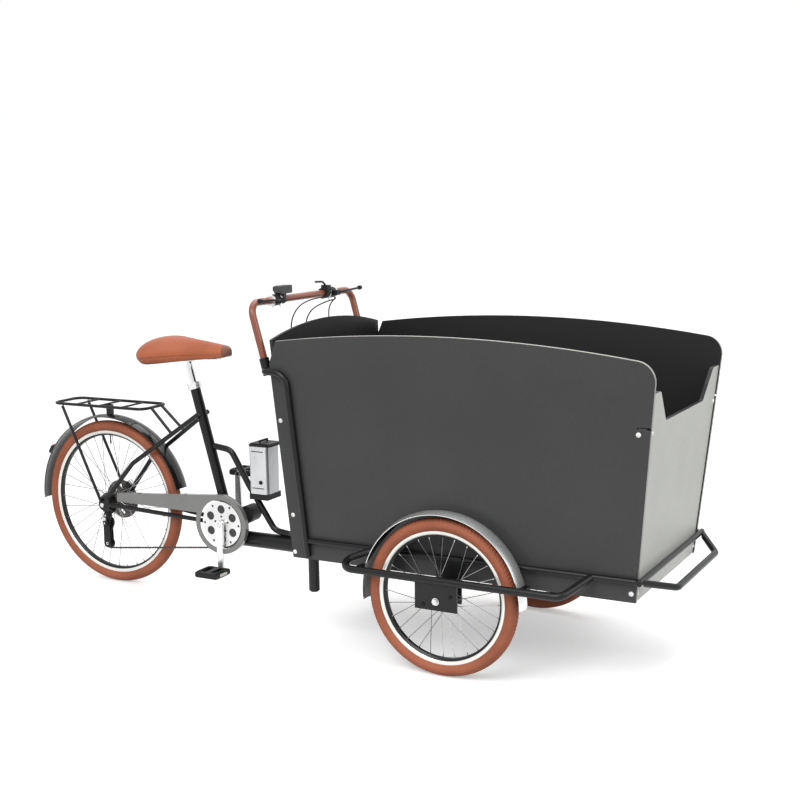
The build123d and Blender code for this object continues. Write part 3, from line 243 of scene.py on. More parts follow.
class SharedEffects:
    """Shader groups that several finishes use, each built once."""

    KINDS = {"Coordinate": "NodeSocketVector", "Tint": "NodeSocketColor", "Color": "NodeSocketColor"}
    PATCH_SHARE = 0.7
    FLECK_SCALE = 22.0
    TONE_RANGE = (0.35, 0.65)
    CELL_SHARE = 0.6
    SCRATCH_STRETCH = (1.0, 6.0, 1.0)
    SCRATCH_TURN = (0.4, 0.9, 0.3)
    SCRATCH_RANGE = (0.62, 0.70)
    SCRATCH_DETAIL = 8.0

    def __init__(self) -> None:
        """Builds the groups."""
        self.uneven = self._uneven()
        self.peel = self._peel()
        self.scuff = self._scuff()

    def _start(self, name: str, inputs: Sequence[str], output: str) -> tuple[Sheet, object, Socket]:
        """Starts a group.

        Args:
            name: Name of the group.
            inputs: Names of its inputs.
            output: Name of its output.

        Returns:
            The group's sheet, its inputs by name, and the socket that takes its result.
        """
        tree = bpy.data.node_groups.new(name, "ShaderNodeTree")
        for title, way in (*((title, "INPUT") for title in inputs), (output, "OUTPUT")):
            kind = self.KINDS.get(title, "NodeSocketFloat")
            tree.interface.new_socket(title, in_out=way, socket_type=kind)
        sheet = Sheet(tree)
        return sheet, sheet.add("NodeGroupInput").outputs, sheet.add("NodeGroupOutput").inputs[0]

    def _uneven(self) -> bpy.types.NodeTree:
        """Tone that drifts over the surface: large soft patches and a fine fleck."""
        sheet, given, result = self._start("uneven_tone", ("Coordinate", "Tint", "Scale", "Spread"), "Color")
        where, scale = given["Coordinate"], given["Scale"]
        soft = sheet.math("MULTIPLY", sheet.noise(where, scale), self.PATCH_SHARE)
        fleck = sheet.noise(where, sheet.math("MULTIPLY", scale, self.FLECK_SCALE))
        blend = sheet.math("ADD", soft, sheet.math("MULTIPLY", fleck, 1.0 - self.PATCH_SHARE))
        centred = sheet.math("SUBTRACT", sheet.ramp(blend, *self.TONE_RANGE), 0.5)
        gain = sheet.math("ADD", sheet.math("MULTIPLY", centred, given["Spread"]), 1.0)
        tinted = sheet.add("ShaderNodeVectorMath", operation="SCALE", i0=given["Tint"], i3=gain)
        sheet.feed(result, tinted.outputs[0])
        return sheet.tree

    def _peel(self) -> bpy.types.NodeTree:
        """Height of a sprayed or moulded skin: fine rounded grain."""
        sheet, given, result = self._start("skin_grain", ("Coordinate", "Scale"), "Height")
        where, scale = given["Coordinate"], given["Scale"]
        cells = sheet.add("ShaderNodeTexVoronoi", vector=where, scale=scale).outputs[0]
        rounded = sheet.math("MULTIPLY", cells, self.CELL_SHARE)
        sheet.feed(result, sheet.math("ADD", sheet.noise(where, scale), rounded))
        return sheet.tree

    def _scuff(self) -> bpy.types.NodeTree:
        """Mask of small rubs and fine scratches, thin and sparse."""
        sheet, given, result = self._start("fine_scuffs", ("Coordinate", "Scale", "Amount"), "Mask")
        bent = sheet.add("ShaderNodeMapping", vector=given["Coordinate"], scale=self.SCRATCH_STRETCH,
                         rotation=self.SCRATCH_TURN)
        streak = sheet.noise(bent.outputs[0], given["Scale"], self.SCRATCH_DETAIL)
        thin = sheet.ramp(streak, *self.SCRATCH_RANGE)
        sheet.feed(result, sheet.math("MULTIPLY", thin, given["Amount"]))
        return sheet.tree


# Finishes


@dataclass(frozen=True)
class Finish:
    """A plain rigid finish: paint, metal or moulded plastic."""

    name: str
    colour: Colour
    metallic: float = 0.0
    roughness: float = 0.4
    spread: float = 0.12
    patch_scale: float = 9.0
    grain_scale: float = 500.0
    grain_depth: float = 0.12
    grain_height: float = 0.0006
    coat: float = 0.0
    coat_roughness: float = 0.12
    specular: float = 0.5
    scuff: float = 0.25
    scuff_scale: float = 35.0
    scuff_dulling: float = 0.5
    sheen: float = 0.0

    def base(self, sheet: MaterialSheet, tint: object = None) -> Socket:
        """The uneven base colour over the surface, from the finish's colour or another tint."""
        return sheet.group(sheet.effects.uneven, coordinate=sheet.coordinate,
                           tint=tint or rgba(self.colour), scale=self.patch_scale, spread=self.spread)

    def paint(self, sheet: MaterialSheet) -> None:
        """Feeds the base colour."""
        sheet.shade("Base Color", self.base(sheet))

    def roughen(self, sheet: MaterialSheet) -> None:
        """Feeds the roughness from the scuffs."""
        scuff = sheet.group(sheet.effects.scuff, coordinate=sheet.coordinate, scale=self.scuff_scale,
                            amount=self.scuff)
        dull = sheet.math("MULTIPLY", scuff, self.scuff_dulling)
        sheet.shade("Roughness", sheet.math("ADD", dull, self.roughness))

    def height(self, sheet: MaterialSheet) -> Socket:
        """Height of the grain."""
        return sheet.group(sheet.effects.peel, coordinate=sheet.coordinate, scale=self.grain_scale)

    def material(self, effects: SharedEffects) -> Material:
        """Builds the material.

        Args:
            effects: The shared shader groups.

        Returns:
            The finished material.
        """
        sheet = MaterialSheet(self.name, effects)
        sheet.shade("Metallic", self.metallic)
        sheet.shade("Coat Weight", self.coat)
        sheet.shade("Coat Roughness", self.coat_roughness)
        sheet.shade("Specular IOR Level", self.specular)
        sheet.shade("Sheen Weight", self.sheen)
        self.paint(sheet)
        self.roughen(sheet)
        bump = sheet.add("ShaderNodeBump", strength=self.grain_depth, distance=self.grain_height,
                         height=self.height(sheet))
        sheet.shade("Normal", bump.outputs[0])
        return sheet.material


@dataclass(frozen=True)
class PanelFinish(Finish):
    """Film-faced plywood: outer face, darker inner face, a pale edge of plies, and painted shade inside its
    slot.
    """

    roughness: float = 0.42
    spread: float = 0.10
    patch_scale: float = 3.0
    grain_scale: float = 260.0
    grain_depth: float = 0.10
    specular: float = 0.22
    outward: Point = (0.0, -1.0, 0.0)
    inner: Colour = (0.012, 0.012, 0.013)
    edge: Colour = (0.42, 0.41, 0.38)
    ply_tone: float = 0.45
    ply_pitch: float = 0.0024
    ply_share: float = 0.6
    turned: float = 0.6
    slot_band: Pair = (0.80, 0.90)

    def paint(self, sheet: MaterialSheet) -> None:
        """Feeds the colour from the direction that each face looks to."""
        normal = sheet.place_of("Normal")
        facing = sheet.dot(normal, self.outward)
        is_edge = sheet.math("LESS_THAN", sheet.math("ABSOLUTE", facing), self.turned)
        is_inner = sheet.math("LESS_THAN", facing, -self.turned)
        depth = sheet.dot(sheet.coordinate, self.outward)
        layer = sheet.math("FRACT", sheet.math("DIVIDE", depth, self.ply_pitch))
        stripe = sheet.math("GREATER_THAN", layer, self.ply_share)
        ply = tuple(value * self.ply_tone for value in self.edge)
        plies = sheet.mix(stripe, rgba(self.edge), rgba(ply))
        # Faces that look up or down within the slot's band of height take the dark inner colour: painted
        # shade in the slot.
        height = sheet.dot(sheet.coordinate, UP)
        in_band = sheet.math("MULTIPLY", sheet.math("GREATER_THAN", height, self.slot_band[0]),
                             sheet.math("LESS_THAN", height, self.slot_band[1]))
        level = sheet.math("ABSOLUTE", sheet.dot(normal, UP))
        in_slot = sheet.math("MULTIPLY", in_band, sheet.math("GREATER_THAN", level, self.turned))
        plies = sheet.mix(in_slot, plies, rgba(self.inner))
        face = sheet.mix(is_inner, self.base(sheet), rgba(self.inner))
        sheet.shade("Base Color", sheet.mix(is_edge, face, plies))


@dataclass(frozen=True)
class TwoToneFinish(Finish):
    """A finish with a second colour outside its mask, which each kind works out."""

    second: Colour = (0.02, 0.02, 0.02)
    second_metallic: float = 0.0

    def mask(self, sheet: MaterialSheet) -> Socket:
        """One where the main colour lies, and zero where the second one does."""
        raise NotImplementedError

    def paint(self, sheet: MaterialSheet) -> None:
        """Feeds both colours and how metallic they are."""
        mask = self.mask(sheet)
        sheet.shade("Base Color", sheet.mix(mask, rgba(self.second), self.base(sheet)))
        metal = sheet.math("MULTIPLY", mask, self.metallic - self.second_metallic)
        sheet.shade("Metallic", sheet.math("ADD", metal, self.second_metallic))


@dataclass(frozen=True)
class WheelFinish(TwoToneFinish):
    """A finish of two colours round a wheel's axis."""

    centre: Point = (0.0, 0.0, 0.0)

    def arm(self, sheet: MaterialSheet) -> Socket:
        """The way from the wheel's axis to the surface."""
        away = sheet.vector("SUBTRACT", sheet.coordinate, self.centre)
        return sheet.vector("MULTIPLY", away, (1.0, 0.0, 1.0))


@dataclass(frozen=True)
class BandFinish(WheelFinish):
    """A wheel rim: black, with a bright machined band near its edge."""

    second: Colour = (0.84, 0.83, 0.79)
    second_metallic: float = 0.4
    band_from: float = 0.28

    def mask(self, sheet: MaterialSheet) -> Socket:
        """One within the band's radius."""
        return sheet.math("LESS_THAN", sheet.length(self.arm(sheet)), self.band_from)


@dataclass(frozen=True)
class FenderFinish(WheelFinish):
    """A fender over a wheel: bright outer skin and dark underside."""

    second: Colour = (0.010, 0.010, 0.011)
    turned: float = -0.02

    def mask(self, sheet: MaterialSheet) -> Socket:
        """One where a face looks away from the wheel's axis."""
        outward = sheet.dot(sheet.place_of("Normal"), self.arm(sheet))
        return sheet.math("GREATER_THAN", outward, self.turned)


@dataclass(frozen=True)
class CoverFinish(TwoToneFinish):
    """A bright cover with the dark toothed ring behind it."""

    cover_from: float = 0.0

    def mask(self, sheet: MaterialSheet) -> Socket:
        """One outside a place across the machine."""
        return sheet.math("LESS_THAN", sheet.dot(sheet.coordinate, ACROSS), self.cover_from)


@dataclass(frozen=True)
class LeatherFinish(Finish):
    """Soft cover with pebbled grain, painted shade in its creases, and painted shade on the crown where it
    looks upwards.
    """

    grain_depth: float = 0.35
    scuff_scale: float = 30.0
    scuff_dulling: float = 0.3
    crease_shade: Colour = (0.2, 0.06, 0.03)
    crown_gain: float = 1.0
    crown_shade_range: Pair = (-0.1, 0.9)
    pebble_scale: float = 420.0
    crease_width: float = 0.12

    def height(self, sheet: MaterialSheet) -> Socket:
        """Zero in the creases and one on the pebbles between them."""
        cells = sheet.add("ShaderNodeTexVoronoi", vector=sheet.coordinate, scale=self.pebble_scale,
                          feature="DISTANCE_TO_EDGE")
        return sheet.ramp(cells.outputs[0], 0.0, self.crease_width)

    def paint(self, sheet: MaterialSheet) -> None:
        """Feeds the colour, with painted shade in the creases and on the crown that looks upwards."""
        # Faces that look upwards take the colour times crown_gain: painted shade on the crown.
        upward = sheet.ramp(sheet.dot(sheet.place_of("Normal"), UP), *self.crown_shade_range)
        shaded_crown = tuple(value * self.crown_gain for value in self.colour)
        tint = sheet.mix(upward, rgba(self.colour), rgba(shaded_crown))
        face = self.base(sheet, tint)
        # The creases of the grain take the darker crease colour: painted shade in the creases.
        sheet.shade("Base Color", sheet.mix(self.height(sheet), rgba(self.crease_shade), face))


class Palette:
    """All finishes of the machine. Each material is built once."""

    BROWN_RUBBER = Finish("brown_rubber", (0.340, 0.108, 0.058), roughness=0.6, spread=0.25,
                          grain_scale=700.0, grain_depth=0.3, specular=0.25, scuff=0.5)
    FRAME_BLACK = Finish("frame_black", (0.007, 0.007, 0.008), roughness=0.3, grain_scale=900.0,
                         grain_depth=0.06, coat=0.08, specular=0.25)
    FENDER_BLACK = Finish("fender_black", (0.007, 0.007, 0.008), roughness=0.2, grain_scale=900.0,
                          grain_depth=0.04, coat=0.35, specular=0.3)
    FENDER_SILVER = FenderFinish("fender_silver", (0.76, 0.77, 0.77), metallic=0.8, roughness=0.22,
                                 coat=0.4, spread=0.06, grain_depth=0.015, scuff=0.06,
                                 centre=tuple(place(FRONT_AXLE_X, 0.0, FRONT_RADIUS)))
    BRIGHT_STEEL = Finish("bright_steel", (0.62, 0.62, 0.63), metallic=1.0, roughness=0.22, spread=0.08,
                          grain_depth=0.03)
    SPOKE_STEEL = Finish("spoke_steel", (0.20, 0.20, 0.205), metallic=1.0, roughness=0.3, spread=0.1)
    CHROME = Finish("chrome", (0.78, 0.78, 0.79), metallic=1.0, roughness=0.08, spread=0.04, scuff=0.1,
                    grain_depth=0.01)
    ALLOY = Finish("polished_alloy", (0.80, 0.80, 0.80), metallic=0.85, roughness=0.24, grain_depth=0.03)
    WHEEL_COVER = CoverFinish("wheel_cover", (0.72, 0.72, 0.72), metallic=0.7, roughness=0.3,
                              grain_depth=0.03, scuff=0.1, cover_from=-0.0515)
    OILED_STEEL = Finish("oiled_steel", (0.09, 0.085, 0.08), metallic=0.9, roughness=0.34, spread=0.4,
                         scuff=0.5)
    BLACK_PLASTIC = Finish("black_plastic", (0.009, 0.009, 0.010), roughness=0.45, grain_scale=600.0,
                           grain_depth=0.2, specular=0.25)
    GUARD_GREY = Finish("guard_grey", (0.17, 0.17, 0.165), roughness=0.2, coat=0.7, grain_depth=0.03)
    BAR_BROWN = Finish("bar_brown", (0.235, 0.068, 0.036), roughness=0.3, coat=0.35, spread=0.1,
                       specular=0.35)
    BATTERY_SILVER = Finish("battery_silver", (0.62, 0.63, 0.64), metallic=0.7, roughness=0.32)
    LENS_RED = Finish("lens_red", (0.28, 0.012, 0.01), roughness=0.12, coat=1.0, grain_depth=0.02)
    WHITE_ZINC = Finish("white_zinc", (0.78, 0.78, 0.76), metallic=0.5, roughness=0.3)
    DISPLAY_GREY = Finish("display_grey", (0.06, 0.06, 0.062), grain_depth=0.1, specular=0.3)
    REFLECTOR = Finish("pale_reflector", (0.74, 0.70, 0.62), roughness=0.12, coat=0.8, grain_scale=300.0,
                       grain_depth=0.5, scuff=0.05)
    GLASS_BLACK = Finish("display_glass", (0.006, 0.007, 0.008), roughness=0.08, coat=1.0, grain_depth=0.0)
    # The saddle leathers paint shade into their creases, and crown_gain 0.68 paints shade on the saddle's
    # crown.
    SADDLE_BROWN = LeatherFinish("saddle_leather", (0.53, 0.154, 0.070), crease_shade=(0.28, 0.08, 0.04),
                                 roughness=0.46, spread=0.16, sheen=0.04, specular=0.25, crown_gain=0.68)
    SADDLE_EDGE = LeatherFinish("saddle_edge", (0.05, 0.022, 0.014), crease_shade=(0.02, 0.01, 0.008))
    SADDLE_NOSE = LeatherFinish("saddle_nose", (0.215, 0.080, 0.046), crease_shade=(0.11, 0.042, 0.026),
                                roughness=0.6, spread=0.16, patch_scale=14.0, sheen=0.1)
    FLOOR_BOARD = Finish("floor_board", (0.016, 0.015, 0.014), roughness=0.5, spread=0.3, grain_depth=0.3,
                         specular=0.25)

    def __init__(self) -> None:
        """Builds the shared groups and an empty store."""
        self.effects = SharedEffects()
        self.made: dict[str, Material] = {}

    def of(self, finish: Finish) -> Material:
        """The material of a finish, built on its first use."""
        if finish.name not in self.made:
            self.made[finish.name] = finish.material(self.effects)
        return self.made[finish.name]


# Mesh tools


@dataclass(frozen=True)
class Head:
    """A small round head with a socket in its face. Millimetres."""

    rim: float
    height: float
    bore: float
    depth: float
    draft: float = 0.2
    start: float = -1.0
    sides: int = 24
    bore_draft: float = 0.2

    def profile(self) -> Profile:
        """Its section from the foot over the rim to the socket's floor."""
        return [(self.start, self.rim + self.draft), (self.height, self.rim),
                (self.height, self.bore + self.bore_draft), (self.height - self.depth, self.bore)]


class Bench:
    """Collects mesh shapes and turns them into one piece. Places in metres, sizes in millimetres."""

    def __init__(self, palette: Palette) -> None:
        """Starts an empty mesh."""
        self.bm = bmesh.new()
        self.palette = palette
        self.slots: list[Finish] = []

    def _paint(self, before: int, finish: Finish) -> None:
        """Gives the faces made since a count their finish."""
        if finish not in self.slots:
            self.slots.append(finish)
        index = self.slots.index(finish)
        self.bm.faces.ensure_lookup_table()
        for face in self.bm.faces[before:]:
            face.material_index = index

    def box(self, centre: Vector, size: Point, finish: Finish, turn: Matrix | None = None,
            bevel: float = 0.0) -> None:
        """Adds a block with softened edges.

        Args:
            centre: Middle of the block.
            size: Full lengths along its own axes.
            finish: Its finish.
            turn: Rotation of the block.
            bevel: Width of the softened edge.
        """
        before = len(self.bm.faces)
        matrix = Matrix.Translation(centre) @ (turn.to_4x4() if turn else Matrix.Identity(4))
        matrix = matrix @ Matrix.Diagonal((*(length * MM for length in size), 1.0))
        made = bmesh.ops.create_cube(self.bm, size=1.0, matrix=matrix)
        if bevel:
            edges = list({edge for vert in made["verts"] for edge in vert.link_edges})
            bmesh.ops.bevel(self.bm, geom=edges, offset=bevel * MM, segments=2, affect="EDGES", profile=0.6)
        self._paint(before, finish)

    def rod(self, start: Vector, end: Vector, radius: float, finish: Finish, sides: int,
            end_radius: float | None = None) -> None:
        """Adds a closed round bar or cone between two points."""
        before = len(self.bm.faces)
        line = end - start
        turn = line.to_track_quat("Z", "Y").to_matrix().to_4x4()
        far = radius if end_radius is None else end_radius
        bmesh.ops.create_cone(self.bm, cap_ends=True, segments=sides, radius1=radius * MM, radius2=far * MM,
                              depth=line.length, matrix=Matrix.Translation((start + end) / 2) @ turn)
        self._paint(before, finish)

    @staticmethod
    def _turned(profile: Profile, origin: Vector, axis: Vector, sides: int) -> list[list[Vector]]:
        """The points of a turned shape, one row of its profile for each step around."""
        turn = axis.to_track_quat("Z", "Y").to_matrix()
        rows = []
        for index in range(sides):
            cosine, sine = arc(360.0 * index / sides)
            rows.append([origin + turn @ step(radius * cosine, radius * sine, along)
                         for along, radius in profile])
        return rows

    def lathe(self, profile: Profile, origin: Vector, axis: Vector, finish: Finish,
              sides: int = 24) -> None:
        """Adds a turned shape with closed ends.

        Args:
            profile: Pairs of distance along the axis and radius.
            origin: Where the axis starts.
            axis: Direction of the axis.
            finish: Its finish.
            sides: Steps around.
        """
        before = len(self.bm.faces)
        verts = self.grid(self._turned(profile, origin, axis, sides), finish, closed_u=True)
        for end in (0, -1):
            self.bm.faces.new([row[end] for row in verts])
        self._paint(before, finish)

    def head(self, head: Head, spot: Vector, axis: Vector, finish: Finish) -> None:
        """Adds a small head at a spot, looking along an axis."""
        self.lathe(head.profile(), spot, axis, finish, head.sides)

    def ring(self, profile: Profile, origin: Vector, axis: Vector, finish: Finish,
             sides: int = 28) -> None:
        """Adds a turned shape with an open bore, from its closed section and as in lathe."""
        self.grid(self._turned(profile, origin, axis, sides), finish, closed_u=True, closed_v=True)

    def plate(self, outline: list[Vector], thickness: float, finish: Finish) -> None:
        """Adds a flat plate from its outline and its thickness across the machine."""
        before = len(self.bm.faces)
        far = [point + ACROSS * thickness * MM for point in outline]
        for row in self.grid([outline, far], finish, closed_v=True):
            self.bm.faces.new(row)
        self._paint(before, finish)

    def grid(self, rows: list[list[Vector]], finish: Finish, closed_u: bool = False,
             closed_v: bool = False) -> list[list[bmesh.types.BMVert]]:
        """Adds a surface through rows of points.

        Args:
            rows: Rows of points.
            finish: Its finish.
            closed_u: Whether the last row joins the first one.
            closed_v: Whether the last point of each row joins its first one.

        Returns:
            The vertices, row by row.
        """
        before = len(self.bm.faces)
        verts = [[self.bm.verts.new(point) for point in row] for row in rows]
        count_u = len(verts)
        count_v = len(verts[0])
        for u in range(count_u if closed_u else count_u - 1):
            for v in range(count_v if closed_v else count_v - 1):
                first = verts[u]
                second = verts[(u + 1) % count_u]
                after = (v + 1) % count_v
                self.bm.faces.new((first[v], second[v], second[after], first[after]))
        self._paint(before, finish)
        return verts

    def finish(self, name: str, body: Body, slot: str, sharp: float = 38.0) -> Object:
        """Makes the piece and lets it ride on its body.

        Args:
            name: Name of the piece.
            body: The body that it moves with.
            slot: The record's material slot; not used.
            sharp: Angle in degrees above which an edge stays sharp.

        Returns:
            The new object.
        """
        bmesh.ops.recalc_face_normals(self.bm, faces=self.bm.faces)
        mesh = bpy.data.meshes.new(name)
        self.bm.to_mesh(mesh)
        self.bm.free()
        for used in self.slots:
            mesh.materials.append(self.palette.of(used))
        mesh.shade_smooth()
        mesh.set_sharp_from_angle(angle=math.radians(sharp))
        piece = add_object(name, mesh)
        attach(piece, body.value)
        LOG.info("piece %s: %d faces on %s", name, len(mesh.polygons), body.value)
        return piece


@dataclass
class Assembly:
    """A sub-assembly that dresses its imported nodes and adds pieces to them."""

    frame: dict
    palette: Palette

    def dress(self, finish: Finish, *nodes: str) -> None:
        """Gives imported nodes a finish, as a material on their objects."""
        for name in nodes:
            for slot in self.frame["nodes"][name].material_slots:
                slot.link = "OBJECT"
                slot.material = self.palette.of(finish)
            LOG.info("node %s: %s", name, finish.name)


# Wheels


@dataclass
class Wheel(Assembly):
    """One spoked wheel: tyre with tread, rim, laced hub and valve. Millimetres and degrees."""

    name: str
    body: Body
    x: float
    y: float
    radius: float
    hub_node: str
    rim_node: str
    tyre_node: str
    spokes: int
    hub_half: float
    flange: float
    flange_at: float
    half_width: float = 25.0
    tyre_height: float = 40.0
    crown_radius: float = 21.0
    wall_angle: float = 112.0
    tread_angle: float = 58.0
    arc_steps: int = 34
    bead: tuple[Pair, Pair] = ((14.6, 0.0), (19.5, 3.0))
    wall_ridges: tuple[int, ...] = (2, 5)
    ridge_height: float = 0.7
    tread_pitch: float = 13.0
    tread_depth: float = 1.5
    pitch_parts: int = 6
    groove_parts: int = 2
    slant_width: float = 4.0
    centre_groove: Pair = (3.2, 4.5)
    rim_depth: float = 20.0
    band_depth: float = 12.0
    bore: float = 6.4
    barrel: float = 17.0
    crossings: int = 3
    spoke_radius: float = 1.1
    spoke_spread: float = 2.4
    hole_inset: float = 3.6
    elbow: float = 5.0
    elbow_head: float = 1.25
    elbow_radii: Pair = (2.0, 1.2)
    nipple: tuple[Pair, Pair] = ((3.4, -9.0), (3.0, 0.6))
    nipple_radii: Pair = (1.7, 2.2)
    valve_share: float = 0.24
    valve: tuple[float, float, float] = (1.0, -24.0, -36.0)
    valve_radius: float = 2.6
    valve_cap_radii: Pair = (3.6, 2.8)

    def centre(self) -> Vector:
        """Middle of the wheel, in metres."""
        return place(self.x, self.y, self.radius)

    def ring_point(self, angle: float, across: float, reach: float) -> Vector:
        """A point round the wheel, from its angle in radians, its place across and its radius."""
        arm = Vector((math.cos(angle), 0.0, math.sin(angle))) * reach * MM
        return self.centre() + arm + Vector((0.0, across * MM, 0.0))

    def tyre_profile(self) -> list[tuple[float, float, bool]]:
        """Cross-section of the tyre: across, radius, and whether it has tread."""
        seat = self.radius - self.tyre_height
        rows = [(-across, seat + rise, False) for across, rise in self.bead]
        for index in range(self.arc_steps + 1):
            degrees = 2 * self.wall_angle * index / self.arc_steps - self.wall_angle
            cosine, sine = arc(degrees)
            across = (self.half_width - self.ridge_height) * sine
            if index in self.wall_ridges or self.arc_steps - index in self.wall_ridges:
                across += math.copysign(self.ridge_height, across)
            reach = self.radius - self.crown_radius + self.crown_radius * cosine
            rows.append((across, reach, abs(degrees) < self.tread_angle))
        return rows + [(across, seat + rise, False) for across, rise in reversed(self.bead)]

    def build_tyre(self) -> Object:
        """Tyre with a centre rib, slanted side blocks and smooth walls."""
        bench = Bench(self.palette)
        around = int(2 * math.pi * self.radius / self.tread_pitch) * self.pitch_parts
        groove_from, groove_to = self.centre_groove
        profile = self.tyre_profile()
        rows = []
        for index in range(around):
            row = []
            for across, reach, treaded in profile:
                phase = (index + int(abs(across) / self.slant_width)) % self.pitch_parts
                slot = abs(across) > groove_to and phase < self.groove_parts
                beside_rib = groove_from < abs(across) <= groove_to
                drop = self.tread_depth if treaded and (slot or beside_rib) else 0.0
                row.append(self.ring_point(2 * math.pi * index / around, across, reach - drop))
            rows.append(row)
        bench.grid(rows, Palette.BROWN_RUBBER, closed_u=True, closed_v=True)
        tyre = bench.finish(f"{self.name}_tyre_tread", self.body, "tyre_brown", sharp=50.0)
        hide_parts(self.tyre_node)
        return tyre

    def hub_profile(self) -> Profile:
        """Closed section of the hub: end, shoulder, flange and waisted barrel, then the bore."""
        half, flange, at = self.hub_half, self.flange, self.flange_at
        side = [(half, self.bore), (half, 11.0), (half - 7.0, 12.0), (at + 9.0, 13.5), (at + 3.5, 17.5),
                (at + 2.6, flange - 7.0), (at + 1.5, flange), (at - 1.5, flange), (at - 2.6, flange - 7.0),
                (at - 5.0, self.barrel + 1.5), (at - 12.0, self.barrel)]
        return side + [(-along, radius) for along, radius in reversed(side)]

    def build_hub(self) -> Object:
        """Turned hub and its crossed spokes, with bent heads, nipples and the valve."""
        bench = Bench(self.palette)
        bench.ring(self.hub_profile(), self.centre(), ACROSS, Palette.OILED_STEEL)
        steel = Palette.SPOKE_STEEL
        bright = Palette.BRIGHT_STEEL
        inside = self.radius - self.tyre_height - self.rim_depth
        turn = 4 * math.pi / self.spokes
        for side in (-1, 1):
            for index in range(self.spokes // 2):
                way = 1 if index % 2 else -1
                start = turn * index + (turn / 2 if side > 0 else 0.0)
                end = start + way * self.crossings * turn
                outer_side = side * (self.flange_at + way * self.spoke_spread)
                head = self.ring_point(start, outer_side, self.flange - self.hole_inset)
                foot, seat = (self.ring_point(end, side * across, inside + reach)
                              for across, reach in self.nipple)
                through = ACROSS * (-side * way * self.elbow * MM)
                bench.rod(head, foot, self.spoke_radius, steel, 8)
                bench.rod(foot, seat, self.nipple_radii[0], bright, 8, self.nipple_radii[1])
                bench.rod(head, head + through, self.spoke_radius, steel, 8)
                bench.rod(head + through, head + through * self.elbow_head, self.elbow_radii[0], bright, 8,
                          self.elbow_radii[1])
        angle = 2 * math.pi * (0.5 / self.spokes + self.valve_share)
        base, stem, tip = (self.ring_point(angle, 0.0, inside + reach) for reach in self.valve)
        bench.rod(base, stem, self.valve_radius, bright, 12)
        bench.rod(stem, tip, self.valve_cap_radii[0], Palette.BLACK_PLASTIC, 12, self.valve_cap_radii[1])
        hub = bench.finish(f"{self.name}_hub_laced", self.body, "spoke_steel")
        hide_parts(self.hub_node)
        return hub

    def build(self) -> None:
        """Builds the wheel's pieces and dresses its rim."""
        self.build_tyre()
        self.build_hub()
        band = BandFinish(f"{self.name}_rim_finish", (0.010, 0.010, 0.011), roughness=0.3, specular=0.3,
                          centre=tuple(self.centre()),
                          band_from=(self.radius - self.tyre_height - self.band_depth) * MM)
        self.dress(band, self.rim_node)


# Load box


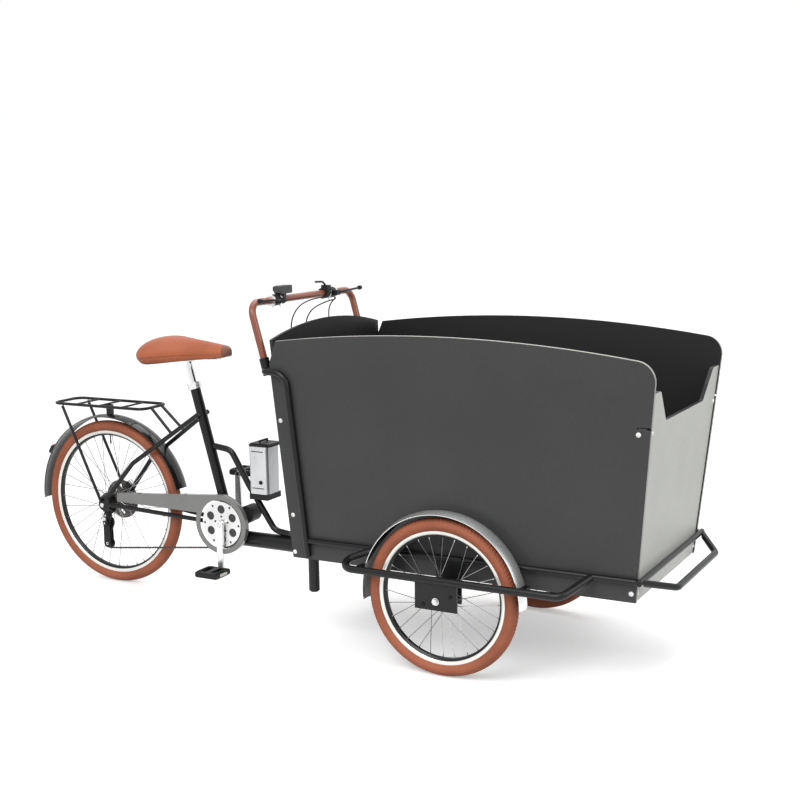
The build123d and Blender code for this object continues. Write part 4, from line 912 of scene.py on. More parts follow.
@dataclass
class LoadBox(Assembly):
    """Plywood load box with its frame of black tubes. Millimetres and degrees."""

    half_width: float = 330.0
    ring_z: float = 375.0
    side_lean: float = 4.4
    front_lean: float = 4.8
    front_x: float = 2282.0
    proud: float = 0.2
    charcoal: Colour = (0.052, 0.052, 0.053)
    pale_face: Colour = (0.53, 0.54, 0.51)
    pale_edge: Colour = (0.42, 0.41, 0.38)
    dark_edge: Colour = (0.035, 0.035, 0.034)
    dome: Profile = ((0.0, 7.75), (1.2, 7.75), (1.2, 6.2), (2.8, 5.332), (4.0, 3.1), (4.0, 2.232),
                     (1.6, 2.108))
    side_bolts: Profile = ((1048.0, 790.0), (1071.0, 459.0), (1068.0, 325.0), (2288.0, 829.0),
                           (2266.0, 333.0))
    front_bolts: Profile = ((337.0, 832.0), (304.0, 333.0))
    plate_y: float = 452.6
    washer: Profile = ((0.0, 6.8), (0.0, 12.8), (1.8, 12.4), (1.8, 6.8))
    plate_bolt: Profile = ((0.0, 6.2), (4.5, 6.0), (6.0, 4.5), (6.0, 2.6), (3.0, 2.4))
    plate_bolts: Profile = ((-46.0, -13.0), (50.0, 20.0))

    def side_y(self, z: float) -> float:
        """Distance of a side panel's outer face from the middle, at a height."""
        return self.half_width + (z - self.ring_z) * math.tan(math.radians(self.side_lean))

    def side_out(self, side: int) -> Vector:
        """Direction that a side panel's outer face looks to."""
        cosine, sine = arc(self.side_lean)
        return Vector((0.0, side * cosine, -sine))

    def front_face_x(self, z: float) -> float:
        """Place of the front panel's outer face along X, at a height."""
        return self.front_x + (z - self.ring_z) * math.tan(math.radians(self.front_lean))

    def front_out(self) -> Vector:
        """Direction that the front panel's outer face looks to."""
        cosine, sine = arc(self.front_lean)
        return Vector((cosine, 0.0, -sine))

    def build_bolts(self) -> Object:
        """Domed bolt heads with sockets on the side panels and on the front panel."""
        bench = Bench(self.palette)
        for side in (-1, 1):
            for x, z in self.side_bolts:
                foot = place(x, side * (self.side_y(z) + self.proud), z)
                bench.lathe(self.dome, foot, self.side_out(side), Palette.WHITE_ZINC, 20)
            for y, z in self.front_bolts:
                foot = place(self.front_face_x(z) + self.proud, side * y, z)
                bench.lathe(self.dome, foot, self.front_out(), Palette.WHITE_ZINC, 20)
        return bench.finish("panel_bolts", Body.FRONT_BOX, "fender_silver")

    def build_axle_ends(self) -> Object:
        """Washer and two small lock bolts on each outer axle plate."""
        bench = Bench(self.palette)
        for side in (-1, 1):
            out = ACROSS * side
            axle = place(FRONT_AXLE_X, side * (self.plate_y + self.proud), FRONT_RADIUS)
            bench.ring(self.washer, axle, out, Palette.BRIGHT_STEEL, 32)
            for ahead, rise in self.plate_bolts:
                spot = axle + step(ahead, 0.0, rise)
                bench.lathe(self.plate_bolt, spot, out, Palette.BLACK_PLASTIC, 18)
        return bench.finish("axle_plate_bolts", Body.FRONT_BOX, "frame_black")

    def build(self) -> None:
        """Dresses the panels and tubes and adds the bolts."""
        looks = (
            ("side_panel_right", self.charcoal, self.side_out(-1), self.pale_edge),
            ("side_panel_left", self.charcoal, self.side_out(1), self.pale_edge),
            ("rear_panel", self.charcoal, (-1.0, 0.0, 0.0), self.dark_edge),
            ("front_panel", self.pale_face, self.front_out(), self.dark_edge),
        )
        for node, colour, outward, edge in looks:
            self.dress(PanelFinish(f"{node}_face", colour, outward=tuple(outward), edge=edge), node)
        self.dress(Palette.FLOOR_BOARD, "box_floor")
        self.dress(Palette.FRAME_BLACK, "base_ring", "cross_frame", "side_rails", "axle_plates",
                   "corner_hoops", "stand_legs", "bumper", "fender_brackets", "cable_guide")
        self.dress(Palette.FENDER_SILVER, "front_fenders")
        self.dress(Palette.BRIGHT_STEEL, "kingpin", "front_axles")
        self.build_bolts()
        self.build_axle_ends()


# Drive


@dataclass
class Drive(Assembly):
    """Chain, chainwheel, cranks, pedals and derailleur. Millimetres and degrees."""

    pitch: float = 12.7
    line: float = -49.0
    crank: Pair = (565.0, 308.0)
    crank_teeth: int = 46
    rear_teeth: int = 18
    pulley_teeth: int = 11
    pulleys: tuple[Pair, Pair] = ((5.0, 258.0), (6.0, 172.0))
    arc_steps: int = 24
    plate_end: float = 3.9
    plate_waist: float = 2.7
    plate_steps: int = 5
    plate_thickness: float = 0.9
    plate_offsets: Pair = (1.0, 2.0)
    chain_rods: tuple[tuple[float, float, int], ...] = ((2.9, 1.8, 8), (0.95, 3.6, 10))
    pedal_half: float = 50.0
    pedal_y: float = 126.0
    ribs: int = 9
    rib_spots: Point = (40.0, 8.8, 11.2)
    rib_size: Point = (14.0, 4.2, 2.4)
    reflector_size: Point = (2.4, 44.0, 11.0)
    small_bevel: float = 0.6
    crank_face: float = 74.0
    crank_bolt: Profile = ((-2.0, 9.5), (1.5, 9.5), (3.0, 8.0), (3.0, 4.2), (-1.0, 4.0))
    cover_face: float = -55.0
    cover_bolt: Head = Head(rim=4.0, height=1.6, bore=2.0, depth=1.2, sides=14)
    cover_bolts: int = 5
    cover_bolt_circle: float = 30.0
    cover_bolt_turn: float = 18.0
    cage_arcs: tuple[Point, Point] = ((-10.0, 190.0, 14.0), (170.0, 370.0, 17.0))
    cage_steps: int = 8
    cage_gap: float = 0.2
    cage_thickness: float = 2.2
    upper_knuckle: Pair = (12.0, 291.0)
    knuckle: Profile = ((-2.0, 12.5), (10.0, 12.0), (12.5, 9.5), (12.5, 4.5), (10.0, 4.0))
    knuckle_bolt: Head = Head(rim=4.0, height=13.5, bore=1.6, depth=1.5, start=9.5, sides=14)
    pulley: Profile = ((-1.1, 6.0), (-1.1, 21.5), (1.1, 21.5), (1.1, 6.0))
    pulley_bolt: Head = Head(rim=6.0, height=2.5, bore=2.8, depth=1.5, draft=0.5, sides=16)
    link_size: Point = (17.0, 11.0, 26.0)
    link_shift: Pair = (-5.0, -5.5)
    link_lean: float = 14.0
    link_bevel: float = 2.0

    def wheel_radius(self, teeth: int) -> float:
        """Pitch radius of a toothed wheel."""
        return self.pitch / (2 * math.sin(math.pi / teeth))

    def loop_path(self) -> list[Pair]:
        """Closed path of the chain round its four toothed wheels, as close points."""
        guide, tension = self.pulleys
        wheels = ((self.crank, self.crank_teeth, 1), ((0.0, REAR_RADIUS), self.rear_teeth, 1),
                  (guide, self.pulley_teeth, -1), (tension, self.pulley_teeth, 1))
        rings = [(*spot, self.wheel_radius(teeth), turn) for spot, teeth, turn in wheels]
        leave, arrive = [], []
        for (x1, z1, r1, t1), (x2, z2, r2, t2) in zip(rings, rings[1:] + rings[:1]):
            span = math.hypot(x2 - x1, z2 - z1)
            heading = math.atan2(z2 - z1, x2 - x1) - math.asin((t2 * r2 - t1 * r1) / span)
            across = (-math.sin(heading), math.cos(heading))
            leave.append((x1 - t1 * r1 * across[0], z1 - t1 * r1 * across[1]))
            arrive.append((x2 - t2 * r2 * across[0], z2 - t2 * r2 * across[1]))
        path = []
        for index, first in enumerate(arrive):
            following = (index + 1) % len(rings)
            x, z, radius, turn = rings[following]
            last = leave[following]
            path.append(leave[index])
            start = math.atan2(first[1] - z, first[0] - x)
            swing = math.atan2(last[1] - z, last[0] - x) - start
            while swing * turn < 0:
                swing += turn * 2 * math.pi
            for part in range(self.arc_steps + 1):
                angle = start + swing * part / self.arc_steps
                path.append((x + radius * math.cos(angle), z + radius * math.sin(angle)))
        return path + path[:1]

    def pins(self) -> list[Vector]:
        """Pin centres of the whole chain, one pitch apart, in millimetres."""
        path = self.loop_path()
        lengths = [math.dist(a, b) for a, b in zip(path, path[1:])]
        total = sum(lengths)
        count = 2 * round(total / self.pitch / 2)
        spots, index, travelled = [], 0, 0.0
        for link in range(count):
            goal = total * link / count
            while travelled + lengths[index] < goal:
                travelled += lengths[index]
                index += 1
            share = (goal - travelled) / lengths[index]
            a, b = path[index], path[index + 1]
            spots.append(Vector((a[0] + (b[0] - a[0]) * share, 0.0, a[1] + (b[1] - a[1]) * share)))
        return spots

    def link_outline(self, first: Vector, second: Vector, y: float) -> list[Vector]:
        """Outline of one link plate between two pins, at a place across."""
        along = (second - first).normalized()
        up = Vector((-along.z, 0.0, along.x))
        middle = (first + second) / 2
        points = []
        for centre, turn, waist in ((second, -90.0, up), (first, 90.0, -up)):
            for part in range(self.plate_steps + 1):
                cosine, sine = arc(turn + 180.0 * part / self.plate_steps)
                points.append(centre + (along * cosine + up * sine) * self.plate_end)
            points.append(middle + waist * self.plate_waist)
        return [place(point.x, y, point.z) for point in points]

    def build_chain(self) -> Object:
        """Roller chain of inner and outer links."""
        bench = Bench(self.palette)
        steel = Palette.OILED_STEEL
        spots = self.pins()
        for index, (first, second) in enumerate(zip(spots, spots[1:] + spots[:1])):
            for side in (-1, 1):
                outline = self.link_outline(first, second, self.line + side * self.plate_offsets[index % 2])
                bench.plate(outline, side * self.plate_thickness, steel)
            for half, radius, sides in self.chain_rods:
                ends = (place(first.x, self.line + side * half, first.z) for side in (-1, 1))
                bench.rod(*ends, radius, steel, sides)
        chain = bench.finish("chain_links", Body.REAR_FRAME, "chain_steel", sharp=30.0)
        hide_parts("chain")
        return chain

    def build_pedal_treads(self, body: Body, node: str) -> Object:
        """Ribbed rubber blocks on both faces of a pedal, and its reflector ends."""
        low, high = map(Vector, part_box(node))
        bench = Bench(self.palette)
        middle = (low + high) / 2
        side = -1 if middle.y < 0 else 1
        block = Vector((middle.x, side * self.pedal_y * MM, middle.z))
        edge_at, rib_pitch, face_at = self.rib_spots
        for face in (-1, 1):
            for edge in (-1, 1):
                for rib in range(self.ribs):
                    across = side * (rib - self.ribs // 2) * rib_pitch
                    spot = block + step(edge * edge_at, across, face * face_at)
                    bench.box(spot, self.rib_size, Palette.BLACK_PLASTIC, bevel=self.small_bevel)
            end = block + step(face * (self.pedal_half + PROUD), 0.0, 0.0)
            bench.box(end, self.reflector_size, Palette.REFLECTOR, bevel=self.small_bevel)
        return bench.finish(f"{node}_treads", body, "plastic_black")

    def build_crank_bolts(self) -> Object:
        """Bolt with its socket in the outer face of each crank, and small bolts round the cover."""
        bench = Bench(self.palette)
        x, z = self.crank
        for side in (-1, 1):
            end = place(x, side * self.crank_face, z)
            bench.lathe(self.crank_bolt, end, ACROSS * side, Palette.BRIGHT_STEEL)
        for index in range(self.cover_bolts):
            cosine, sine = arc(360.0 * index / self.cover_bolts + self.cover_bolt_turn)
            spot = place(x, self.cover_face, z) + step(cosine, 0.0, sine) * self.cover_bolt_circle
            bench.head(self.cover_bolt, spot, -ACROSS, Palette.OILED_STEEL)
        return bench.finish("crank_bolts", Body.CRANK, "alloy_silver")

    def cage_outline(self, y: float) -> list[Vector]:
        """Outline of the cage's outer plate round both pulleys, at a place across."""
        points = []
        for (x, z), (low, high, reach) in zip(self.pulleys, self.cage_arcs):
            for part in range(self.cage_steps + 1):
                cosine, sine = arc(low + (high - low) * part / self.cage_steps)
                points.append(place(x + reach * cosine, y, z + reach * sine))
        return points

    def build_derailleur_detail(self) -> Object:
        """Knuckles, links and bolt heads on the outside of the derailleur."""
        low, _high = map(Vector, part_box("derailleur"))
        bench = Bench(self.palette)
        black = Palette.BLACK_PLASTIC
        bright = Palette.BRIGHT_STEEL
        face = low.y / MM
        out = -ACROSS
        guide, tension = self.pulleys
        for x, z in (self.upper_knuckle, guide):
            bench.lathe(self.knuckle, place(x, face, z), out, black, 22)
            bench.head(self.knuckle_bolt, place(x, face, z), out, bright)
        bench.plate(self.cage_outline(face - self.cage_gap), -self.cage_thickness, black)
        for x, z in self.pulleys:
            bench.ring(self.pulley, place(x, self.line, z), out, black, 33)
        ahead, outside = self.link_shift
        x, z = ((a + b) / 2 for a, b in zip(self.upper_knuckle, guide))
        lean = Matrix.Rotation(math.radians(self.link_lean), 3, "Y")
        spot = place(x + ahead, face + outside, z)
        bench.box(spot, self.link_size, black, turn=lean, bevel=self.link_bevel)
        bench.head(self.pulley_bolt, place(tension[0], face, tension[1]), out, bright)
        return bench.finish("derailleur_links", Body.REAR_FRAME, "plastic_black")

    def build(self) -> None:
        """Builds the drive's pieces and dresses its nodes."""
        self.build_chain()
        self.build_pedal_treads(Body.RIGHT_PEDAL, "pedal_right")
        self.build_pedal_treads(Body.LEFT_PEDAL, "pedal_left")
        self.build_crank_bolts()
        self.build_derailleur_detail()
        self.dress(Palette.WHEEL_COVER, "chainwheel")
        self.dress(Palette.ALLOY, "cranks")
        self.dress(Palette.OILED_STEEL, "cassette", "rear_brake_disc")
        self.dress(Palette.BLACK_PLASTIC, "pedal_right", "pedal_left", "derailleur", "motor")
        self.dress(Palette.GUARD_GREY, "chain_guard")


# Rear frame


@dataclass
class RearFrame(Assembly):
    """Frame tubes, rack, battery and lamp. Millimetres and degrees."""

    cap_inset: float = 4.0
    cap_height: float = 10.0
    cap_rise: float = 4.0
    cap_bevel: float = 3.0
    handle_half: float = 26.0
    handle_foot: float = 7.0
    handle_rise: float = 13.0
    handle_radius: float = 3.8
    seam_size: Point = (52.0, 1.2, 3.0)
    seam_down: float = 18.0
    seam_up: float = 22.0
    charge_cover: Head = Head(rim=7.6, height=1.6, bore=2.8, depth=1.2, draft=0.4)
    charge_spot: Point = (12.0, 0.0, 45.0)
    lock: Head = Head(rim=5.6, height=2.0, bore=1.8, depth=1.4, draft=0.4)
    lock_spot: Point = (-18.0, 0.0, -40.0)
    disc_y: float = 46.0
    caliper_angle: float = 52.0
    caliper_reach: float = 71.0
    caliper_sides: tuple[Pair, Pair] = ((-8.5, -3.0), (3.0, 11.5))
    caliper_length: float = 40.0
    caliper_depth: float = 30.0
    caliper_bevel: float = 2.0
    bridge_reach: float = 89.5
    bridge_size: Point = (9.0, 20.0, 34.0)
    bridge_y: float = 1.5
    caliper_bolt: Head = Head(rim=4.0, height=3.0, bore=1.8, depth=2.0, sides=16)
    caliper_bolt_reach: float = 74.0
    caliper_bolt_half: float = 12.0
    lamp_angle: float = 148.0
    lens_reach: float = 7.5
    lens_size: Point = (28.0, 34.0, 3.0)

    def build_battery_trim(self) -> Object:
        """Cap with its handle, seams, lock and charge cover of the battery."""
        low, high = map(Vector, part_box("battery"))
        middle = (low + high) / 2
        size = (high - low) / MM
        bench = Bench(self.palette)
        black = Palette.BLACK_PLASTIC
        bright = Palette.BRIGHT_STEEL
        top = Vector((middle.x, middle.y, high.z))
        cap = (size.x - self.cap_inset, size.y - self.cap_inset, self.cap_height)
        bench.box(top + UP * self.cap_rise * MM, cap, black, bevel=self.cap_bevel)
        ends = ((-1, 0.0), (-1, self.handle_rise), (1, self.handle_rise), (1, 0.0))
        grip = [top + step(0.0, side * self.handle_half, self.handle_foot + rise) for side, rise in ends]
        for start, end in zip(grip, grip[1:]):
            bench.rod(start, end, self.handle_radius, black, 14)
        for side in (-1, 1):
            out = ACROSS * side
            y = middle.y + side * (size.y / 2 + PROUD) * MM
            upper, lower = Vector((middle.x, y, high.z)), Vector((middle.x, y, low.z))
            bench.box(upper - UP * self.seam_down * MM, self.seam_size, black)
            bench.box(lower + UP * self.seam_up * MM, self.seam_size, black)
            bench.head(self.charge_cover, lower + step(*self.charge_spot), out, black)
            bench.head(self.lock, upper + step(*self.lock_spot), out, bright)
        return bench.finish("battery_trim", Body.REAR_FRAME, "plastic_black")

    def build_caliper(self) -> Object:
        """Brake caliper over the rim of the disc, with its pads, bridge and two bolts."""
        bench = Bench(self.palette)
        black = Palette.FRAME_BLACK
        bright = Palette.BRIGHT_STEEL
        cosine, sine = arc(self.caliper_angle)
        arm = Vector((cosine, 0.0, sine))
        along = Vector((-sine, 0.0, cosine))
        turn = Matrix((arm, ACROSS, -along)).transposed()
        middle = place(0.0, self.disc_y, REAR_RADIUS)
        for low, high in self.caliper_sides:
            spot = middle + (arm * self.caliper_reach + ACROSS * (low + high) / 2) * MM
            size = (self.caliper_depth, high - low, self.caliper_length)
            bench.box(spot, size, black, turn=turn, bevel=self.caliper_bevel)
        bridge = middle + (arm * self.bridge_reach + ACROSS * self.bridge_y) * MM
        bench.box(bridge, self.bridge_size, black, turn=turn, bevel=self.caliper_bevel)
        outer = self.caliper_sides[-1][1]
        for side in (-1, 1):
            shift = along * side * self.caliper_bolt_half
            foot = middle + (arm * self.caliper_bolt_reach + shift + ACROSS * outer) * MM
            bench.head(self.caliper_bolt, foot, ACROSS, bright)
        return bench.finish("brake_caliper", Body.REAR_FRAME, "plastic_black")

    def build_lamp_lens(self) -> Object:
        """Red lens on the rear face of the lamp."""
        low, high = map(Vector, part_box("rear_lamp"))
        cosine, sine = arc(self.lamp_angle)
        out = Vector((cosine, 0.0, sine))
        bench = Bench(self.palette)
        turn = out.to_track_quat("Z", "Y").to_matrix()
        bench.box((low + high) / 2 + out * self.lens_reach * MM, self.lens_size, Palette.LENS_RED,
                  turn=turn, bevel=1.0)
        return bench.finish("rear_lamp_lens", Body.REAR_FRAME, "plastic_black")

    def build(self) -> None:
        """Builds the small pieces and dresses the tubes."""
        self.dress(Palette.FRAME_BLACK, "dropouts", "chain_stays", "seat_stays", "seat_tube", "crank_cradle",
                   "main_beam", "frame_brace", "rear_rack", "rack_struts")
        self.dress(Palette.FENDER_BLACK, "rear_fender")
        self.dress(Palette.BRIGHT_STEEL, "rear_axle", "saddle_frame")
        self.dress(Palette.CHROME, "seat_post")
        self.dress(Palette.ALLOY, "seat_clamp")
        self.dress(Palette.BATTERY_SILVER, "battery")
        self.dress(Palette.BLACK_PLASTIC, "battery_holder", "rear_lamp")
        self.build_battery_trim()
        self.build_caliper()
        self.build_lamp_lens()


# Saddle


@dataclass
class Saddle(Assembly):
    """Padded saddle with a stitched cover. Millimetres, from its rear end and lowest edge."""

    length: float = 400.0
    peak: float = 104.0
    peak_share: float = 0.36
    rear_drop: float = 59.0
    nose_drop: float = 32.0
    tip_from: float = 0.95
    tip_drop: float = 10.0
    tip_lift: float = 8.0
    low_share: float = 0.2
    rear_lift: float = 25.0
    nose_lift: float = 32.0
    belt_share: float = 0.40
    pan_rise: float = 27.0
    pan_share: float = 0.45
    lip: float = 11.0
    rows: int = 30
    nose_rows: int = 5
    under_steps: int = 8
    stitches: int = 54
    stitch_range: Pair = (0.08, 0.84)
    stitch_share: float = 0.009
    stitch_rise: float = 0.27
    stitch_radius: float = 0.7
    stitch_reach: float = 2.0
    stitch_proud: float = 0.3
    flanks: tuple[int, ...] = (90, 74, 58, 43, 29, 15, 0, -18, -38, -58)
    lowest_sine: float = 0.848
    widths: Profile = (
        (0.0, 40.0), (0.03, 80.0), (0.08, 108.0), (0.16, 124.0), (0.25, 121.0), (0.34, 107.0), (0.46, 78.0),
        (0.58, 50.0), (0.72, 37.0), (0.95, 27.0), (0.985, 18.0), (1.0, 7.0),
    )

    def half_at(self, share: float) -> float:
        """Half the saddle's width at a share of its length from the rear."""
        for (low, start), (high, end) in zip(self.widths, self.widths[1:]):
            if share <= high:
                return start + (end - start) * (share - low) / (high - low)
        return self.widths[-1][1]

    def tip_at(self, share: float) -> float:
        """How far the nose has closed in, from none to one at its tip."""
        return max(0.0, (share - self.tip_from) / (1.0 - self.tip_from)) ** 2.0

    def top_at(self, share: float) -> float:
        """Height of the crown."""
        if share < self.peak_share:
            fall = ((self.peak_share - share) / self.peak_share) ** 3.0
            return self.peak - self.rear_drop * fall
        fall = ((share - self.peak_share) / (1.0 - self.peak_share)) ** 1.25
        return self.peak - self.nose_drop * fall - self.tip_drop * self.tip_at(share)

    def edge_at(self, share: float) -> float:
        """Height of the lower edge."""
        if share < self.low_share:
            return self.rear_lift * ((self.low_share - share) / self.low_share) ** 2.4
        rise = self.nose_lift * (share - self.low_share) / (1.0 - self.low_share)
        return rise + self.tip_lift * self.tip_at(share)

    def section(self, share: float, origin: Vector) -> list[Vector]:
        """One closed cross-section: crown, rounded sides, lower lip and the recess under the pan."""
        half = self.half_at(share)
        top = self.top_at(share)
        edge = self.edge_at(share)
        belt = edge + self.belt_share * (top - edge)
        pan = min(max(self.pan_rise, edge + 4.0), edge + self.pan_share * (top - edge))
        outer = []
        for degrees in self.flanks:
            cosine, sine = arc(degrees)
            across = half * cosine ** (0.80 if degrees > 0 else 0.35)
            reach = top - belt if degrees >= 0 else (belt - edge) / self.lowest_sine
            outer.append((across, belt + reach * sine))
        lip = min(self.lip, half * 0.4)
        outer += [(max(half - lip, 1.0) * 0.96, edge + 1.0), (max(half - lip - 2.0, 0.8) * 0.94, pan)]
        left = [(-across, up) for across, up in reversed(outer[1:])]
        return [origin + step(share * self.length, across, up) for across, up in outer + left]

    def build_cover(self) -> Object:
        """The padded cover with its dark lower edge and the darker patch on its nose, over its node."""
        low, _high = map(Vector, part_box("saddle"))
        origin = Vector((low.x, 0.0, low.z))
        bench = Bench(self.palette)
        shares = (0.5 - 0.5 * math.cos(math.pi * row / self.rows) for row in range(self.rows + 1))
        sections = [self.section(share, origin) for share in shares]
        verts = bench.grid(sections, Palette.SADDLE_BROWN, closed_v=True)
        for end in (0, -1):
            bench.bm.faces.new(verts[end])
        bench.slots += [Palette.SADDLE_EDGE, Palette.SADDLE_NOSE]
        bench.bm.faces.ensure_lookup_table()
        count = len(verts[0])
        for index, face in enumerate(bench.bm.faces):
            row, around = divmod(index, count)
            if row < self.rows and self.under_steps <= around <= count - self.under_steps - 2:
                face.material_index = 1
            elif row >= self.rows - self.nose_rows and index != self.rows * count:
                face.material_index = 2
        saddle = bench.finish("saddle_cover", Body.REAR_FRAME, "saddle_leather", sharp=180.0)
        smooth = saddle.modifiers.new("rounded padding", "SUBSURF")
        smooth.levels = 2
        smooth.render_levels = 2
        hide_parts("saddle")
        return saddle

    def build_stitching(self, cover: Object) -> Object:
        """Short stitches along both sides, just above the lower edge.

        Args:
            cover: The saddle's cover, which the thread lies on.

        Returns:
            The stitches as one piece.
        """
        low, _high = map(Vector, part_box("saddle"))
        origin = Vector((low.x, 0.0, low.z))
        skin = cover.evaluated_get(bpy.context.evaluated_depsgraph_get())
        to_skin = skin.matrix_world.inverted()
        first, span = self.stitch_range
        bench = Bench(self.palette)
        for side in (-1, 1):
            for stitch in range(self.stitches):
                share = first + span * stitch / self.stitches
                spots = []
                for along in (share, share + self.stitch_share):
                    edge = self.edge_at(along)
                    rise = edge + self.stitch_rise * (self.top_at(along) - edge)
                    across = side * (self.half_at(along) + self.stitch_reach)
                    start = origin + step(along * self.length, across, rise)
                    _hit, spot, normal, _face = skin.closest_point_on_mesh(to_skin @ start)
                    spots.append(skin.matrix_world @ (spot + normal * self.stitch_proud * MM))
                bench.rod(*spots, self.stitch_radius, Palette.SADDLE_EDGE, 6)
        return bench.finish("saddle_stitching", Body.REAR_FRAME, "saddle_leather")

    def build(self) -> None:
        """Builds the saddle's cover and its stitches."""
        cover = self.build_cover()
        self.build_stitching(cover)


# Cockpit


@dataclass
class Cockpit(Assembly):
    """Handlebar with its levers, display, shifter and cables. Millimetres."""

    cable_diameter: float = 5.0
    routes: tuple[tuple[Point, ...], ...] = (
        ((946, 128, 1168), (956, 20, 1172), (972, -120, 1152), (976, -178, 1084), (992, -142, 940),
         (1047, -60, 465), (1049, -22, 347)),
        ((956, 160, 1156), (960, 60, 1150), (972, -50, 1122), (982, -86, 1050), (1002, -60, 880),
         (1047, -14, 485), (1049, 0, 347)),
        ((950, 190, 1158), (960, 124, 1146), (974, 96, 1084), (996, 80, 940), (1047, 40, 505),
         (1049, 22, 347)),
    )
    lengths: tuple[float, ...] = (1.09, 1.0, 0.88)
    names: tuple[str, ...] = ("rear_brake_cable", "front_brake_cable", "gear_cable")
    bar: Pair = (926.0, 1180.0)
    lever_y: float = 190.0
    clamp_half: float = 23.5
    clamp: Profile = ((-5.5, 13.0), (-5.5, 18.5), (-4.0, 19.8), (4.0, 19.8), (5.5, 18.5), (5.5, 13.0))
    adjuster: tuple[Pair, Pair] = ((8.0, -19.0), (8.0, -25.0))
    adjuster_radius: float = 3.4
    glass_size: Point = (1.2, 52.0, 16.0)
    glass_down: float = 12.0
    key_size: Point = (1.6, 14.0, 4.0)
    key_half: float = 12.0
    key_down: float = 23.5

    def build_cable(self, name: str, route: tuple[Point, ...], length: float) -> Object:
        """One control cable as a smooth spline along its route.

        Args:
            name: Name of the cable.
            route: Control points in millimetres from the rear axle.
            length: Real length in metres.

        Returns:
            The cable's curve.
        """
        curve = bpy.data.curves.new(name, "CURVE")
        curve.dimensions = "3D"
        spline = curve.splines.new("NURBS")
        spline.points.add(len(route) - 1)
        for point, spot in zip(spline.points, route):
            point.co = (*place(*spot), 1.0)
        spline.order_u = 3
        spline.use_endpoint_u = True
        curve.resolution_u = 16
        curve.bevel_depth = self.cable_diameter / 2 * MM
        curve.bevel_resolution = 3
        curve.use_fill_caps = True
        curve.materials.append(self.palette.of(Palette.BLACK_PLASTIC))
        cable = add_object(name, curve)
        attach(cable, Body.FRONT_BOX.value)
        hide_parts("control_cables")
        LOG.info("cable %s: %.2f m", name, length)
        return cable

    def build_clamps(self) -> Object:
        """Bright clamp bands beside the brake levers, and the barrel adjusters below them."""
        bench = Bench(self.palette)
        x, z = self.bar
        for side in (-1, 1):
            for shift in (-self.clamp_half, self.clamp_half):
                spot = place(x, side * self.lever_y + shift, z)
                bench.ring(self.clamp, spot, ACROSS, Palette.ALLOY)
                ends = (spot + step(ahead, 0.0, rise) for ahead, rise in self.adjuster)
                bench.rod(*ends, self.adjuster_radius, Palette.BLACK_PLASTIC, 12)
        return bench.finish("lever_clamps", Body.FRONT_BOX, "alloy_silver")

    def build_display_face(self) -> Object:
        """Glass on the rider's face of the display, and two keys below it."""
        low, high = map(Vector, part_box("display"))
        bench = Bench(self.palette)
        face = Vector((low.x, (low.y + high.y) / 2, high.z))
        glass = face + step(-PROUD, 0.0, -self.glass_down)
        bench.box(glass, self.glass_size, Palette.GLASS_BLACK, bevel=0.4)
        for side in (-1, 1):
            key = face + step(-PROUD, side * self.key_half, -self.key_down)
            bench.box(key, self.key_size, Palette.BLACK_PLASTIC, bevel=0.5)
        return bench.finish("display_face", Body.FRONT_BOX, "plastic_black")

    def build(self) -> None:
        """Builds the cables and dresses the bar and its controls."""
        self.dress(Palette.BAR_BROWN, "handlebar")
        self.dress(Palette.BLACK_PLASTIC, "brake_levers", "shifter")
        self.dress(Palette.DISPLAY_GREY, "display")
        self.build_clamps()
        self.build_display_face()
        for name, route, length in zip(self.names, self.routes, self.lengths):
            self.build_cable(name, route, length)


# Studio


@dataclass(frozen=True)
class Lamp:
    """A soft square lamp, in metres and watts."""

    name: str
    spot: Point
    aim: Point
    size: float
    power: float

    def build(self) -> Object:
        """Puts the lamp in its place."""
        data = bpy.data.lights.new(self.name, "AREA")
        data.shape = "SQUARE"
        data.size = self.size
        data.energy = self.power
        lamp = add_object(self.name, data)
        lamp.location = self.spot
        lamp.rotation_euler = (Vector(self.aim) - Vector(self.spot)).to_track_quat("-Z", "Y").to_euler()
        return lamp


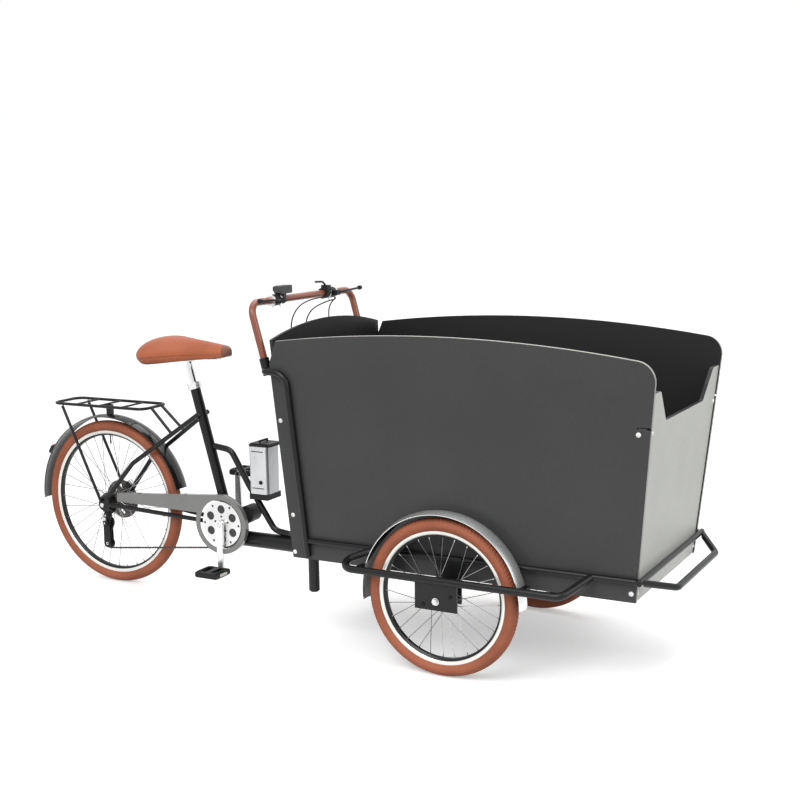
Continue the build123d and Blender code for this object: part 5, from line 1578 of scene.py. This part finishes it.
@dataclass
class Studio:
    """Pale floor, soft lights and the camera of the picture. Millimetres and degrees."""

    eye: Point = (3440.0, -4054.0, 1522.0)
    yaw: float = 30.0
    pitch: float = 11.88
    roll: float = -1.2
    sensor: float = 36.0
    focal_px: float = 1316.0
    principal_px: Pair = (348.5, 474.8)
    frame_px: float = 800.0
    far_clip: float = 60.0
    floor_reach: float = 14.0
    floor_roughness: float = 0.6
    floor_tone: float = 0.86
    bounce_tone: float = 0.5
    near_glow: float = 0.34
    far_glow: float = 0.72
    far_range: Pair = (1.2, 2.6)
    far_shape: Point = (0.8, 1.0, 0.0)
    world_light: float = 0.65
    world_seen: float = 0.35
    lamps: tuple[Lamp, ...] = (
        Lamp("key_lamp", (0.6, -3.8, 4.0), (0.0, 0.0, 0.4), 3.0, 165.0),
        Lamp("fill_lamp", (3.8, -0.8, 2.4), (1.2, 0.0, 0.6), 2.4, 45.0),
        Lamp("top_lamp", (0.0, 1.2, 4.6), (0.0, 0.0, 0.2), 4.0, 110.0),
    )

    def build_camera(self) -> Object:
        """Camera at the photograph's place and angle."""
        yaw, pitch, roll = (math.radians(angle) for angle in (self.yaw, self.pitch, self.roll))
        ahead = Vector((-math.sin(yaw) * math.cos(pitch), math.cos(yaw) * math.cos(pitch), -math.sin(pitch)))
        right = ahead.cross(UP).normalized()
        up = right.cross(ahead)
        rolled_right = right * math.cos(roll) + up * math.sin(roll)
        rolled_up = up * math.cos(roll) - right * math.sin(roll)
        data = bpy.data.cameras.new("studio_camera")
        data.sensor_width = self.sensor
        data.lens = self.focal_px / self.frame_px * self.sensor
        data.shift_x = 0.5 - self.principal_px[0] / self.frame_px
        data.shift_y = self.principal_px[1] / self.frame_px - 0.5
        data.clip_end = self.far_clip
        camera = add_object("studio_camera", data)
        turn = Matrix((rolled_right, rolled_up, -ahead)).transposed().to_4x4()
        camera.matrix_world = Matrix.Translation(place(*self.eye)) @ turn
        bpy.context.scene.camera = camera
        return camera

    @staticmethod
    def seen_rays(sheet: Sheet) -> Socket:
        """Mask of the rays that show a surface: to the camera, in reflections and through glass."""
        path = sheet.add("ShaderNodeLightPath").outputs
        glass = sheet.math("MAXIMUM", path["Is Glossy Ray"], path["Is Transmission Ray"])
        return sheet.math("MAXIMUM", path["Is Camera Ray"], glass)

    def build_floor(self) -> Object:
        """Large pale floor that brightens to white for the camera and keeps shadows."""
        mesh = bpy.data.meshes.new("studio_floor")
        reach = self.floor_reach
        corners = ((-reach, -reach, 0.0), (reach, -reach, 0.0), (reach, reach, 0.0), (-reach, reach, 0.0))
        mesh.from_pydata(corners, [], [(0, 1, 2, 3)])
        sheet = MaterialSheet("studio_floor")
        sheet.shade("Roughness", self.floor_roughness)
        sheet.shade("Emission Color", grey(1.0))
        distance = sheet.length(sheet.vector("MULTIPLY", sheet.coordinate, self.far_shape))
        far = sheet.ramp(distance, *self.far_range)
        seen = self.seen_rays(sheet)
        near = sheet.mix(seen, grey(self.bounce_tone), grey(self.floor_tone))
        sheet.shade("Base Color", sheet.mix(far, near, grey(0.0)))
        glow = sheet.math("ADD", sheet.math("MULTIPLY", far, self.far_glow), self.near_glow)
        sheet.shade("Emission Strength", sheet.math("MULTIPLY", seen, glow))
        mesh.materials.append(sheet.material)
        floor = add_object("studio_floor", mesh)
        return floor

    def build_world(self) -> None:
        """White surroundings for the camera and for reflections, softer for the light."""
        world = bpy.data.worlds.new("studio")
        bpy.context.scene.world = world
        world.use_nodes = True
        sheet = Sheet(world.node_tree)
        background = world.node_tree.nodes["Background"]
        sheet.feed(background.inputs["Color"], grey(1.0))
        shown = sheet.math("MULTIPLY", self.seen_rays(sheet), self.world_seen)
        sheet.feed(background.inputs["Strength"], sheet.math("ADD", shown, self.world_light))

    def build(self) -> None:
        """Sets up camera, floor, lamps, world and the view transform."""
        self.build_camera()
        self.build_floor()
        self.build_world()
        for lamp in self.lamps:
            lamp.build()
        bpy.context.scene.view_settings.view_transform = "Standard"


def build_wheels(frame: dict, palette: Palette) -> None:
    """Builds the rear wheel and both front wheels."""
    Wheel(frame, palette, "rear", Body.REAR_WHEEL, 0.0, 0.0, REAR_RADIUS, "rear_hub", "rear_rim",
          "rear_tyre", spokes=36, hub_half=66.0, flange=30.0, flange_at=27.0).build()
    for hand, body, y in (("right", Body.FRONT_WHEEL_RIGHT, -401.6), ("left", Body.FRONT_WHEEL_LEFT, 401.6)):
        nodes = (f"front_hub_{hand}", f"front_rim_{hand}", f"front_tyre_{hand}")
        Wheel(frame, palette, f"front_{hand}", body, FRONT_AXLE_X, y, FRONT_RADIUS, *nodes,
              spokes=28, hub_half=42.0, flange=27.0, flange_at=26.0).build()


def main() -> None:
    """Loads the frame and builds every assembly around it, in order."""
    logging.basicConfig(level=logging.INFO, format="%(message)s")
    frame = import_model()
    palette = Palette()
    Studio().build()
    Cockpit(frame, palette).build()
    build_wheels(frame, palette)
    for assembly in (LoadBox, Drive, RearFrame, Saddle):
        assembly(frame, palette).build()


if __name__ == "__main__":
    main()
